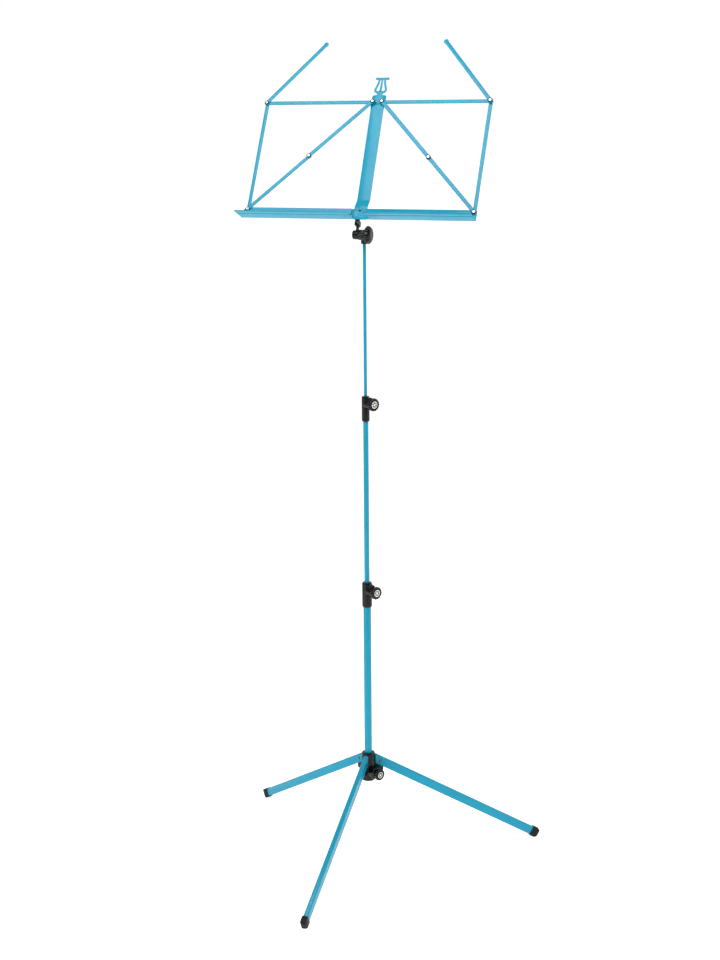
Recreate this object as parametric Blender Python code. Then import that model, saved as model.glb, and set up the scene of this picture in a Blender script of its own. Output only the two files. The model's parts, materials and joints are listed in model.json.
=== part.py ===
"""A folding sheet-music stand: a tripod, a three-stage pole and a folding desk.

Units are metres, +Z is up, and the origin is on the floor under the middle of the outline.
The desk faces -Y, towards the musician.
"""
import math

import bmesh
import bpy
from mathutils import Matrix, Vector

MM = 0.001
GAP = 0.3 * MM

# Pole; it stands behind the middle of the stand's outline
POLE_SETBACK = 85.13 * MM
LOWER_TUBE_RADIUS = 7.3 * MM
LOWER_TUBE_BORE = 6.3 * MM
LOWER_TUBE_BOTTOM = 149.5 * MM
LOWER_TUBE_TOP = 521.0 * MM
MID_TUBE_RADIUS = 4.9 * MM
MID_TUBE_BORE = 4.1 * MM
MID_TUBE_BOTTOM = 470.0 * MM
MID_TUBE_TOP = 881.0 * MM
ROD_RADIUS = 3.0 * MM
ROD_BOTTOM = 836.0 * MM
ROD_TOP = 1209.5 * MM
GUIDE_LENGTH = 14.0 * MM

# Clamp collars: (bottom, top, outer radius, knob height)
LOWER_COLLAR = (500.5 * MM, 549.0 * MM, 9.6 * MM, 533.0 * MM)
UPPER_COLLAR = (860.0 * MM, 907.5 * MM, 7.4 * MM, 894.0 * MM)
CLAMP_AZIMUTH = math.radians(-30)
KNOB_RADIUS = 11.2 * MM
KNOB_DEPTH = 9.0 * MM
STUD_RADIUS = 2.5 * MM

# Tripod
HUB_BOTTOM = 149.0 * MM
HUB_TOP = 205.5 * MM
HUB_RADIUS = 12.9 * MM
HUB_KNOB_HEIGHT = 168.0 * MM
HUB_KNOB_DISTANCE = 27.2 * MM
LEG_AZIMUTHS = {"front": -90, "right": 30, "left": 150}
LEG_PIVOT_RADIUS = 22.8 * MM
LEG_PIVOT_HEIGHT = 186.0 * MM
LEG_SLOPE = math.radians(29.5)
LEG_LENGTH = 358.0 * MM
LEG_WIDTH = 9.0 * MM
LEG_TOP = 9.0 * MM
LEG_BOTTOM = -7.4 * MM
LEG_WALL = 1.2 * MM
LEG_END_RADIUS = 13.5 * MM
FIN_THICKNESS = 6.0 * MM

# Desk: x to the right, y up the desk, z towards the musician, from the tilt axis
TILT_AXIS = Vector((-10.0 * MM, -12.0 * MM, 1204.6 * MM))
DESK_LEAN = math.radians(27.6)
DESK_RISE = 25.2 * MM
DESK_STANDOFF = 10.9 * MM
SHEET = 1.5 * MM
LEDGE_SHEET = 1.2 * MM
LAYER_PITCH = 1.9 * MM
PIVOT_HALF_SPACING = 9.0 * MM
LEDGE_PIVOT_HEIGHT = 16.5 * MM
SPINE_OFFSET = 3.0 * MM
DESK_HALF_SPAN = 218.0 * MM
BAR_RISE = 216.0 * MM
PAGE_ARM_LENGTH = 155.5 * MM
PAGE_ARM_ANGLE = math.radians(50)
BAR_WIDTH = 7.2 * MM
BAR_PAD_RADIUS = 4.6 * MM
BAR_CROWN = 0.8 * MM
RIVET_SHANK = 2.0 * MM
RIVET_HEAD = 3.7 * MM
RIVET_HEAD_HEIGHT = 1.1 * MM
SPINE_WIDTH = 25.0 * MM
LYRE_RISE = 19.5 * MM


# ---------------------------------------------------------------- helpers
def clear_scene():
    for item in list(bpy.data.objects):
        bpy.data.objects.remove(item, do_unlink=True)


def make_material(name, colour, roughness, metallic):
    material = bpy.data.materials.new(name)
    material.use_nodes = True
    shader = material.node_tree.nodes["Principled BSDF"]
    shader.inputs["Base Color"].default_value = (*colour, 1.0)
    shader.inputs["Roughness"].default_value = roughness
    shader.inputs["Metallic"].default_value = metallic
    return material


def add_empty(name, matrix, parent=None):
    empty = bpy.data.objects.new(name, None)
    bpy.context.scene.collection.objects.link(empty)
    empty.parent = parent
    empty.matrix_basis = matrix
    return empty


def add_object(name, mesh_data, finish, parent=None, matrix=Matrix()):
    """Turn a bmesh into a named object placed by a local matrix."""
    bmesh.ops.recalc_face_normals(mesh_data, faces=mesh_data.faces)
    mesh = bpy.data.meshes.new(name)
    mesh_data.to_mesh(mesh)
    mesh_data.free()
    mesh.shade_smooth()
    mesh.set_sharp_from_angle(angle=math.radians(32))
    mesh.materials.append(make_material(name, *finish))
    item = bpy.data.objects.new(name, mesh)
    bpy.context.scene.collection.objects.link(item)
    item.parent = parent
    item.matrix_basis = matrix
    return item


def combine(first, second, operation):
    """Return first united with, or cut by, second as a new bmesh."""
    items = []
    for mesh_data in (first, second):
        bmesh.ops.recalc_face_normals(mesh_data, faces=mesh_data.faces)
        mesh = bpy.data.meshes.new("operand")
        mesh_data.to_mesh(mesh)
        mesh_data.free()
        item = bpy.data.objects.new("operand", mesh)
        bpy.context.scene.collection.objects.link(item)
        items.append(item)
    modifier = items[0].modifiers.new("combine", "BOOLEAN")
    modifier.operation = operation
    modifier.solver = "EXACT"
    modifier.object = items[1]
    graph = bpy.context.evaluated_depsgraph_get()
    result = bmesh.new()
    result.from_mesh(items[0].evaluated_get(graph).to_mesh())
    for item in items:
        bpy.data.objects.remove(item, do_unlink=True)
    bmesh.ops.remove_doubles(result, verts=result.verts, dist=0.0005 * MM)
    return result


def cut(body, *cutters):
    for cutter in cutters:
        body = combine(body, cutter, "DIFFERENCE")
    return body


def unite(body, *others):
    for other in others:
        body = combine(body, other, "UNION")
    return body


def arc(centre, radius, start, end, steps):
    """Points on an arc, angles in degrees, both ends included."""
    points = []
    for index in range(steps + 1):
        angle = math.radians(start + (end - start) * index / steps)
        points.append((centre[0] + radius * math.cos(angle), centre[1] + radius * math.sin(angle)))
    return points


def smooth_line(points, steps):
    """A Catmull-Rom curve through the given points."""
    result = []
    padded = [points[0]] + list(points) + [points[-1]]
    for before, start, end, after in zip(padded, padded[1:], padded[2:], padded[3:]):
        for index in range(steps):
            t = index / steps
            result.append(tuple(
                0.5 * (2 * b + (c - a) * t + (2 * a - 5 * b + 4 * c - d) * t * t
                       + (3 * b - a - 3 * c + d) * t ** 3)
                for a, b, c, d in zip(before, start, end, after)))
    result.append(tuple(points[-1]))
    return result


def turned(profile, segments, closed=False):
    """Turn (radius, height) points about local Z; a closed profile makes a ring."""
    body = bmesh.new()
    verts = [body.verts.new((radius, 0, height)) for radius, height in profile]
    edges = [body.edges.new(pair) for pair in zip(verts, verts[1:])]
    if closed:
        edges.append(body.edges.new((verts[-1], verts[0])))
    bmesh.ops.spin(body, geom=verts + edges, cent=(0, 0, 0), axis=(0, 0, 1),
                   dvec=(0, 0, 0), angle=math.tau, steps=segments, use_merge=True)
    bmesh.ops.remove_doubles(body, verts=body.verts, dist=0.001 * MM)
    return body


def ring(inner, outer, bottom, top, segments=32, chamfer=0.0):
    """A turned tube with chamfered outer rims."""
    return turned([(outer, bottom + chamfer), (outer, top - chamfer), (outer - chamfer, top),
                   (inner, top), (inner, bottom), (outer - chamfer, bottom)]
                  if chamfer else
                  [(outer, bottom), (outer, top), (inner, top), (inner, bottom)],
                  segments, closed=True)


def rod(radius, bottom, top, segments=24, chamfer=0.0):
    """A turned solid bar with chamfered ends."""
    if chamfer:
        profile = [(0, top), (radius - chamfer, top), (radius, top - chamfer),
                   (radius, bottom + chamfer), (radius - chamfer, bottom), (0, bottom)]
    else:
        profile = [(0, top), (radius, top), (radius, bottom), (0, bottom)]
    return turned(profile, segments)


def plate(outline, holes, bottom, top):
    """A flat plate in local XY with through holes."""
    body = bmesh.new()
    edges = []
    for loop in [outline] + list(holes):
        verts = [body.verts.new((x, y, bottom)) for x, y in loop]
        edges += [body.edges.new((verts[i - 1], verts[i])) for i in range(len(verts))]
    bmesh.ops.triangle_fill(body, edges=edges, use_beauty=True, use_dissolve=False)
    raised = bmesh.ops.extrude_face_region(body, geom=body.faces[:], use_keep_orig=True)
    moved = [item for item in raised["geom"] if isinstance(item, bmesh.types.BMVert)]
    bmesh.ops.translate(body, verts=moved, vec=(0, 0, top - bottom))
    return body


def circle(x, y, radius, steps=12):
    return arc((x, y), radius, 0, 360 * (steps - 1) / steps, steps - 1)


def place(body, matrix):
    bmesh.ops.transform(body, matrix=matrix, verts=body.verts)
    return body


def mirror_x(body):
    bmesh.ops.transform(body, matrix=Matrix.Scale(-1, 4, (1, 0, 0)), verts=body.verts)
    bmesh.ops.reverse_faces(body, faces=body.faces)
    return body


def box(low, high):
    body = bmesh.new()
    bmesh.ops.create_cube(body, size=1.0)
    size = Vector(high) - Vector(low)
    centre = (Vector(high) + Vector(low)) / 2
    return place(body, Matrix.Translation(centre) @ Matrix.Diagonal((*size, 1.0)))


def axis_frame(origin, direction):
    """A frame whose Z axis points along direction."""
    rotation = Vector(direction).to_track_quat("Z", "Y").to_matrix().to_4x4()
    return Matrix.Translation(origin) @ rotation


# ---------------------------------------------------------------- finishes
BLUE = ((0.10, 0.45, 0.68), 0.32, 0.0)
BLACK = ((0.012, 0.012, 0.013), 0.42, 0.0)
STEEL = ((0.62, 0.62, 0.61), 0.25, 1.0)
SILVER = ((0.60, 0.60, 0.57), 0.35, 1.0)
RUBBER = ((0.018, 0.018, 0.018), 0.60, 0.0)


# ---------------------------------------------------------------- clamp knobs
def clamp_frame(height, distance):
    """A frame on the clamp screw's axis, Z pointing away from the pole."""
    direction = Vector((math.cos(CLAMP_AZIMUTH), math.sin(CLAMP_AZIMUTH), 0))
    return axis_frame(direction * distance + Vector((0, 0, height)), direction)


def fluted_knob(radius, depth, neck_radius, flutes, bore, recess):
    """A hand knob: a neck, a grip with shallow flutes and a recess in its face."""
    body = turned([(0, 6.5 * MM), (bore, 6.5 * MM), (bore, 0), (neck_radius, 0),
                   (neck_radius, depth * 0.30), (radius * 0.93, depth * 0.42),
                   (radius, depth * 0.55), (radius, depth * 0.88), (radius * 0.94, depth),
                   (recess, depth), (recess, depth - 1.0 * MM), (0, depth - 1.0 * MM)],
                  flutes * 2)
    for vert in body.verts:
        distance = math.hypot(vert.co.x, vert.co.y)
        if distance > neck_radius * 1.2:
            angle = math.atan2(vert.co.y, vert.co.x)
            shrink = 1 - 0.045 * (0.5 - 0.5 * math.cos(angle * flutes))
            vert.co.x *= shrink
            vert.co.y *= shrink
    return body


def build_clamp_screw(prefix, height, tube_radius, knob_distance):
    """Knob, plain inlay and threaded stud of one clamp; the stud bears on the tube."""
    knob = fluted_knob(KNOB_RADIUS, KNOB_DEPTH, 7.6 * MM, 14, STUD_RADIUS + GAP, 7.6 * MM)
    add_object(prefix + "_knob", knob, BLACK, matrix=clamp_frame(height, knob_distance))
    inlay = turned([(0, 0.0), (5.2 * MM, 0.0), (5.6 * MM, 0.35 * MM), (7.1 * MM, 0.35 * MM),
                    (7.1 * MM, -0.6 * MM), (0, -0.6 * MM)], 20)
    inlay_distance = knob_distance + KNOB_DEPTH - 0.05 * MM
    add_object(prefix + "_knob_inlay", inlay, SILVER, matrix=clamp_frame(height, inlay_distance))
    start = tube_radius + GAP
    length = knob_distance + 6.0 * MM - start
    stud = rod(STUD_RADIUS, 0, length, 16, 0.5 * MM)
    add_object(prefix + "_stud", stud, STEEL, matrix=clamp_frame(height, start))


def clamp_boss(height, radius, start, end, segments=20):
    return place(rod(radius, 0, end - start, segments, 0.8 * MM), clamp_frame(height, start))


def stud_hole(height, start, end):
    return place(rod(STUD_RADIUS + GAP, 0, end - start, 16), clamp_frame(height, start))


# ---------------------------------------------------------------- pole
def build_collar(prefix, collar, held_radius, sliding_radius, step_height, knob_distance):
    """A plastic collar fixed on one tube's end that clamps the next tube."""
    bottom, top, radius, knob_height = collar
    wide = held_radius + GAP
    narrow = sliding_radius + GAP
    chamfer = 1.2 * MM
    body = turned([(radius, bottom + chamfer), (radius, top - 0.8 * MM), (radius - 0.8 * MM, top),
                   (narrow + 0.6 * MM, top), (narrow, top - 0.6 * MM), (narrow, step_height),
                   (wide, step_height), (wide, bottom), (radius - chamfer, bottom)],
                  24, closed=True)
    body = unite(body, clamp_boss(knob_height, 7.4 * MM, radius - 2.0 * MM, knob_distance - GAP))
    body = cut(body, stud_hole(knob_height, 0, knob_distance + 5 * MM))
    body = cut(body, rod(narrow, step_height - 1 * MM, top + 1 * MM, 24))
    add_object(prefix + "_collar", body, BLACK)


def build_pole():
    add_object("lower_tube", ring(LOWER_TUBE_BORE, LOWER_TUBE_RADIUS, LOWER_TUBE_BOTTOM,
                                  LOWER_TUBE_TOP, 32, 0.3 * MM), BLUE)
    add_object("mid_tube", ring(MID_TUBE_BORE, MID_TUBE_RADIUS, MID_TUBE_BOTTOM,
                                MID_TUBE_TOP, 28, 0.25 * MM), BLUE)
    add_object("top_rod", rod(ROD_RADIUS, ROD_BOTTOM, ROD_TOP, 24, 0.4 * MM), BLUE)
    for name, bottom, bore, tube in (
            ("mid_tube_guide", MID_TUBE_BOTTOM, MID_TUBE_RADIUS, LOWER_TUBE_BORE),
            ("top_rod_guide", ROD_BOTTOM, ROD_RADIUS, MID_TUBE_BORE)):
        guide = ring(bore + GAP, tube - GAP, bottom + 2 * MM, bottom + GUIDE_LENGTH, 24)
        add_object(name, guide, BLACK)
    for prefix, collar, held, sliding, tube_top, distance in (
            ("lower", LOWER_COLLAR, LOWER_TUBE_RADIUS, MID_TUBE_RADIUS, LOWER_TUBE_TOP, 20.6 * MM),
            ("upper", UPPER_COLLAR, MID_TUBE_RADIUS, ROD_RADIUS, MID_TUBE_TOP, 16.8 * MM)):
        build_collar(prefix, collar, held, sliding, tube_top + GAP, distance)
        build_clamp_screw(prefix, collar[3], sliding, distance)


# ---------------------------------------------------------------- tripod
def leg_frame(azimuth):
    """Origin on the leg's pivot, X down the leg, Y across it, Z out of its top face."""
    turn = Matrix.Rotation(math.radians(azimuth), 4, "Z")
    offset = Matrix.Translation((LEG_PIVOT_RADIUS, 0, LEG_PIVOT_HEIGHT))
    return turn @ offset @ Matrix.Rotation(LEG_SLOPE, 4, "Y")


def channel_section():
    """The leg's section: an inverted U with rounded shoulders, as (y, z) points."""
    half = LEG_WIDTH / 2
    bend = 2.4 * MM
    inner = half - LEG_WALL
    inner_bend = bend - LEG_WALL
    top = LEG_TOP
    points = [(half, LEG_BOTTOM)]
    points += arc((half - bend, top - bend), bend, 0, 90, 4)
    points += arc((bend - half, top - bend), bend, 90, 180, 4)
    points += [(-half, LEG_BOTTOM), (-inner, LEG_BOTTOM)]
    points += arc((bend - half, top - bend), inner_bend, 180, 90, 4)
    points += arc((half - bend, top - bend), inner_bend, 90, 0, 4)
    points += [(inner, LEG_BOTTOM)]
    return points


def leg_side_outline():
    """The leg seen from the side: upright inner end, eased corners, bevelled foot end."""
    slope = LEG_SLOPE

    def inner_end_x(z):
        reach = LEG_END_RADIUS - LEG_PIVOT_RADIUS
        return (reach - z * math.sin(slope)) / math.cos(slope)

    top = LEG_TOP + 1 * MM
    low = LEG_BOTTOM
    points = [(inner_end_x(top), top), (inner_end_x(low + 7.5 * MM), low + 7.5 * MM)]
    points += [(inner_end_x(low + 3.6 * MM) + 0.9 * MM, low + 3.6 * MM)]
    points += [(inner_end_x(low + 1.0 * MM) + 3.2 * MM, low + 1.0 * MM)]
    points += [(inner_end_x(low) + 6.6 * MM, low - 0.5 * MM)]
    points += [(LEG_LENGTH - 18 * MM, low - 0.5 * MM), (LEG_LENGTH, low + 1.6 * MM)]
    points += [(LEG_LENGTH, top)]
    return points


def build_leg(name, azimuth):
    frame = leg_frame(azimuth)
    turn_to_xz = Matrix.Rotation(math.pi / 2, 4, "X")
    channel = plate(channel_section(), [], -20 * MM, LEG_LENGTH + 2 * MM)
    to_leg = Matrix(((0, 0, 1, 0), (1, 0, 0, 0), (0, 1, 0, 0), (0, 0, 0, 1)))
    place(channel, to_leg)
    side = plate(leg_side_outline(), [], -8 * MM, 8 * MM)
    place(side, turn_to_xz)
    leg = combine(channel, side, "INTERSECT")
    leg = cut(leg, place(rod(2.5 * MM + GAP, -8 * MM, 8 * MM, 16), turn_to_xz))
    add_object("leg_" + name, leg, BLUE, matrix=frame)

    half = LEG_WIDTH / 2 + GAP + 1.1 * MM
    top = LEG_TOP + 1.2 * MM
    low = LEG_BOTTOM - 1.5 * MM
    centre = (top + low) / 2
    tall = (top - low) / 2
    cap = bmesh.new()
    loops = []
    for x, scale_y, scale_z in ((LEG_LENGTH - 6 * MM, 0.97, 0.98), (LEG_LENGTH - 4.5 * MM, 1.0, 1.0),
                                (LEG_LENGTH + 6.5 * MM, 1.0, 1.0), (LEG_LENGTH + 10.5 * MM, 0.66, 0.76)):
        loop = []
        for side_y, side_z in ((1, 1), (-1, 1), (-1, -1), (1, -1)):
            corner = 2.0 * MM
            y = side_y * half * scale_y
            z = side_z * tall * scale_z
            first = (y - side_y * corner, z) if side_y * side_z < 0 else (y, z - side_z * corner)
            second = (y, z - side_z * corner) if side_y * side_z < 0 else (y - side_y * corner, z)
            loop += [cap.verts.new((x, first[0], centre + first[1])),
                     cap.verts.new((x, second[0], centre + second[1]))]
        loops.append(loop)
    for start, end in zip(loops, loops[1:]):
        for i in range(len(start)):
            cap.faces.new((start[i - 1], start[i], end[i], end[i - 1]))
    cap.faces.new(loops[0])
    cap.faces.new(loops[-1])
    pocket = box((LEG_LENGTH - 20 * MM, -LEG_WIDTH / 2 - GAP, LEG_BOTTOM - GAP),
                 (LEG_LENGTH + GAP, LEG_WIDTH / 2 + GAP, LEG_TOP + GAP))
    cap = cut(cap, pocket)
    inverse = frame.inverted()
    floor_point = inverse @ Vector((0, 0, 0))
    floor_normal = inverse.to_3x3() @ Vector((0, 0, 1))
    trimmed = bmesh.ops.bisect_plane(cap, geom=cap.verts[:] + cap.edges[:] + cap.faces[:],
                                     dist=0.001 * MM, plane_co=floor_point, plane_no=floor_normal,
                                     clear_inner=True)
    rim = [item for item in trimmed["geom_cut"] if isinstance(item, bmesh.types.BMEdge)]
    bmesh.ops.holes_fill(cap, edges=rim, sides=0)
    add_object("foot_cap_" + name, cap, RUBBER, matrix=frame)

    pin_half = LEG_WIDTH / 2 + GAP
    pin = turned(rivet_profile(-pin_half, pin_half, 2.5 * MM, 3.6 * MM, 0.9 * MM), 12)
    add_object("leg_rivet_" + name, place(pin, turn_to_xz), STEEL, matrix=frame)


def build_hub():
    """The plastic hub: a sleeve with three hinge fins and the clamp's boss."""
    bore = LOWER_TUBE_RADIUS + GAP
    body = turned([(HUB_RADIUS, HUB_BOTTOM + 1.5 * MM), (HUB_RADIUS, HUB_TOP - 1.2 * MM),
                   (HUB_RADIUS - 1.2 * MM, HUB_TOP), (bore, HUB_TOP), (bore, HUB_BOTTOM),
                   (HUB_RADIUS - 1.5 * MM, HUB_BOTTOM)], 28, closed=True)
    fin_outline = [(9.5 * MM, HUB_TOP - 8.5 * MM), (9.5 * MM, LEG_PIVOT_HEIGHT - 19.5 * MM)]
    fin_outline += [(22 * MM, LEG_PIVOT_HEIGHT - 20.5 * MM)]
    fin_outline += arc((25.5 * MM, LEG_PIVOT_HEIGHT - 17.0 * MM), 3.5 * MM, -90, 0, 4)
    fin_outline += [(29.0 * MM, LEG_PIVOT_HEIGHT - 2.0 * MM), (26.0 * MM, LEG_PIVOT_HEIGHT + 3.0 * MM)]
    for azimuth in LEG_AZIMUTHS.values():
        fin = plate(fin_outline, [circle(LEG_PIVOT_RADIUS, LEG_PIVOT_HEIGHT, 2.5 * MM + GAP, 16)],
                    -FIN_THICKNESS / 2, FIN_THICKNESS / 2)
        place(fin, Matrix.Rotation(math.radians(azimuth), 4, "Z")
              @ Matrix.Rotation(math.pi / 2, 4, "X"))
        body = unite(body, fin)
    distance = HUB_KNOB_DISTANCE
    block = box((-9 * MM, -9.5 * MM, 0), (9 * MM, 11.5 * MM, distance - GAP - 9 * MM))
    bmesh.ops.bevel(block, geom=block.edges[:], offset=2.2 * MM, segments=2, affect="EDGES",
                    profile=0.5)
    upright = clamp_frame(HUB_KNOB_HEIGHT, 9 * MM)
    place(block, Matrix.Translation(upright.translation)
          @ Matrix.Rotation(CLAMP_AZIMUTH, 4, "Z") @ Matrix.Rotation(math.pi / 2, 4, "Z")
          @ Matrix.Rotation(math.pi / 2, 4, "X"))
    body = unite(body, block)
    body = cut(body, rod(bore, HUB_BOTTOM - 5 * MM, HUB_TOP + 5 * MM, 28),
               stud_hole(HUB_KNOB_HEIGHT, 0, distance + 5 * MM))
    add_object("tripod_hub", body, BLACK)
    build_clamp_screw("hub", HUB_KNOB_HEIGHT, LOWER_TUBE_RADIUS, distance)


# ---------------------------------------------------------------- desk
def layer(level):
    """Back and front of a strip in one of the desk's layers."""
    bottom = DESK_STANDOFF - SHEET + level * LAYER_PITCH
    return bottom, bottom + SHEET


def rivet_profile(back, front, shank, head, height, shoulder=None):
    """A rivet's half section from its back head to its front head."""
    points = [(0, back - height), (head * 0.6, back - height), (head, back - height * 0.3),
              (head, back), (shank, back)]
    if shoulder:
        radius, low, high = shoulder
        points += [(shank, low), (radius, low), (radius, high), (shank, high)]
    points += [(shank, front), (head, front), (head, front + height * 0.3),
               (head * 0.6, front + height), (0, front + height)]
    return points


def add_rivet(name, x, y, back, front, desk, shoulder=None):
    rivet = turned(rivet_profile(back, front, RIVET_SHANK, RIVET_HEAD, RIVET_HEAD_HEIGHT,
                                 shoulder), 12)
    add_object(name, rivet, STEEL, desk, Matrix.Translation((x, y, 0)))


def bar_outline(length):
    """A strip with round ends slightly wider than its shank."""
    spread = math.degrees(math.asin(BAR_WIDTH / 2 / BAR_PAD_RADIUS))
    points = arc((0, 0), BAR_PAD_RADIUS, spread, 360 - spread, 8)
    points += arc((length, 0), BAR_PAD_RADIUS, spread - 180, 180 - spread, 8)
    return points


def make_bar(length, level, far_hole=True):
    """A crowned steel strip from its pivot along +X."""
    hole = RIVET_SHANK + GAP
    holes = [circle(0, 0, hole)]
    if far_hole:
        holes.append(circle(length, 0, hole))
    bottom, top = layer(level)
    bar = plate(bar_outline(length), holes, bottom, top)
    crown = [edge for edge in bar.edges
             if all(abs(vert.co.z - top) < 0.01 * MM for vert in edge.verts)
             and len(edge.link_faces) == 2
             and any(abs(face.normal.z) < 0.5 for face in edge.link_faces)
             and all(min(vert.co.xy.length, (vert.co.xy - Vector((length, 0))).length)
                     > hole + 0.5 * MM for vert in edge.verts)]
    bmesh.ops.bevel(bar, geom=crown, offset=BAR_CROWN, segments=1, affect="EDGES", profile=0.5)
    return bar


def bar_matrix(x, y, angle):
    return Matrix.Translation((x, y, 0)) @ Matrix.Rotation(angle, 4, "Z")


def offset_line(points, half):
    """Closed outline of a sheet of the given half thickness along a bent line."""
    left = []
    right = []
    for i, point in enumerate(points):
        here = Vector(point)
        before = Vector(points[i - 1]) if i else None
        after = Vector(points[i + 1]) if i + 1 < len(points) else None
        incoming = (here - before).normalized() if before else (after - here).normalized()
        outgoing = (after - here).normalized() if after else incoming
        normal_in = Vector((-incoming.y, incoming.x))
        normal_out = Vector((-outgoing.y, outgoing.x))
        mitre = (normal_in + normal_out).normalized()
        reach = half / mitre.dot(normal_in)
        left.append(tuple(here + mitre * reach))
        right.append(tuple(here - mitre * reach))
    return left + right[::-1]


def ledge_section():
    """The ledge's bent section, as (forward, up) points from its back corner."""
    half = LEDGE_SHEET / 2
    back = layer(1)[0] + half
    line = [(back, 20.5 * MM), (back, 0), (back + 23 * MM, -2.0 * MM),
            (back + 24.2 * MM, -1.0 * MM), (back + 26.2 * MM, -1.2 * MM),
            (back + 27.4 * MM, -2.4 * MM), (back + 35.6 * MM, -3.1 * MM),
            (back + 37.0 * MM, -1.9 * MM)]
    return offset_line(line, half)


def extrude_along_x(section, start, end):
    """Extrude (forward, up) points along X; forward is local Z and up is local Y."""
    body = plate(section, [], start, end)
    to_desk = Matrix(((0, 0, 1, 0), (0, 1, 0, 0), (1, 0, 0, 0), (0, 0, 0, 1)))
    return place(body, to_desk)


def trim(body, point, normal):
    """Cut away what lies beyond a plane and close the cut."""
    result = bmesh.ops.bisect_plane(body, geom=body.verts[:] + body.edges[:] + body.faces[:],
                                    dist=0.001 * MM, plane_co=point, plane_no=normal,
                                    clear_outer=True)
    rim = [item for item in result["geom_cut"] if isinstance(item, bmesh.types.BMEdge)]
    bmesh.ops.holes_fill(body, edges=rim, sides=0)
    return body


def inner_pivot_x(side):
    """Where one half's bars pivot on the spine, which stands right of the desk's middle."""
    return SPINE_OFFSET + side * PIVOT_HALF_SPACING


def bar_span(side):
    return DESK_HALF_SPAN - side * inner_pivot_x(side)


def build_ledge(side, desk):
    """One half of the music ledge, hinged near the spine; side is -1 left, 1 right."""
    pivot_y = DESK_RISE + LEDGE_PIVOT_HEIGHT
    span = bar_span(side)
    end = span + (5.5 * MM if side > 0 else 9.5 * MM)
    corner = 2.5 * MM if side > 0 else 6.0 * MM
    top = 20.5 * MM
    overlap = 1.4 * MM
    if side > 0:
        shelf_start = 14.8 * MM
        level = 1
        tongue_outline = [(shelf_start + overlap, 0.2 * MM), (shelf_start + overlap, top)]
        tongue_outline += [(-6.1 * MM, top), (-11.1 * MM, 12.6 * MM), (-16.1 * MM, top)]
        tongue_outline += [(-20.5 * MM, top), (-24.5 * MM, 16.5 * MM)]
        tongue_outline += arc((-12.5 * MM, 12.2 * MM), 12.0 * MM, 180, 270, 6)
    else:
        shelf_start = 7.3 * MM
        level = 0
        tongue_outline = [(shelf_start + overlap, 8.0 * MM), (shelf_start + overlap, top)]
        tongue_outline += [(0, top)]
        tongue_outline += arc((0, 12.0 * MM), 8.5 * MM, 90, 240, 8)
    back = layer(level)[0]
    shelf_reach = shelf_start if side > 0 else 1.5 * MM
    body = extrude_along_x(ledge_section(), shelf_reach, end)
    if side < 0:
        body = cut(body, box((0, -3 * MM, 5 * MM), (shelf_start, 25 * MM, layer(1)[0] + 2.0 * MM)))
    tongue = plate(tongue_outline, [], back, back + LEDGE_SHEET)
    if side > 0:
        tongue = plate(tongue_outline, [], back + 0.01 * MM, back + LEDGE_SHEET - 0.01 * MM)
        body = unite(body, tongue)
    else:
        link = box((shelf_start, 8.1 * MM, back + 0.1 * MM),
                   (shelf_start + overlap - 0.1 * MM, top - 0.1 * MM, layer(1)[0] + 0.6 * MM))
        body = unite(body, tongue, link)
    trim(body, (end - corner, top, 0), (1, 1, 0))
    place(body, Matrix.Translation((0, -LEDGE_PIVOT_HEIGHT, 0)))
    hole = RIVET_SHANK + GAP
    for x in (0, span):
        body = cut(body, place(rod(hole, 0, 30 * MM, 12), Matrix.Translation((x, 0, 0))))
    if side < 0:
        mirror_x(body)
    name = "ledge_right" if side > 0 else "ledge_left"
    add_object(name, body, BLUE, desk,
               Matrix.Translation((inner_pivot_x(side), pivot_y, 0)))


def spine_outline(shoulder):
    """Right half of the spine's outline from its foot to the lyre's top, then mirrored."""
    half = SPINE_WIDTH / 2
    lyre = shoulder + LYRE_RISE
    right = [(half, 1.2 * MM), (half, shoulder - 16 * MM), (13.6 * MM, shoulder - 5 * MM)]
    right += arc((9.6 * MM, lyre - 8 * MM), 4.0 * MM, 0, 100, 5)
    right += [(5.6 * MM, lyre - 3.8 * MM), (5.0 * MM, lyre - 2 * MM)]
    right += smooth_line([(5.4 * MM, lyre - 0.4 * MM), (9.6 * MM, lyre + 1.6 * MM),
                          (12.3 * MM, lyre + 5.6 * MM), (11.6 * MM, lyre + 10 * MM),
                          (9.5 * MM, lyre + 16.5 * MM), (7.6 * MM, lyre + 23 * MM),
                          (7.4 * MM, lyre + 27.7 * MM)], 2)
    right += arc((10.9 * MM, lyre + 30.6 * MM), 2.4 * MM, -120, 130, 8)
    left = [(-x, y) for x, y in reversed(right)]
    return right + left


def lyre_window(shoulder):
    """The opening between the lyre's right arm and its middle bar."""
    lyre = shoulder + LYRE_RISE
    arm = smooth_line([(7.0 * MM, lyre + 4.2 * MM), (9.2 * MM, lyre + 6.4 * MM),
                       (8.6 * MM, lyre + 10 * MM), (6.6 * MM, lyre + 16.5 * MM),
                       (4.8 * MM, lyre + 23 * MM), (4.4 * MM, lyre + 28.2 * MM)], 2)
    return [(1.5 * MM, lyre + 28.2 * MM), (1.5 * MM, lyre + 6.5 * MM),
            (2.8 * MM, lyre + 4.0 * MM)] + arm


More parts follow.
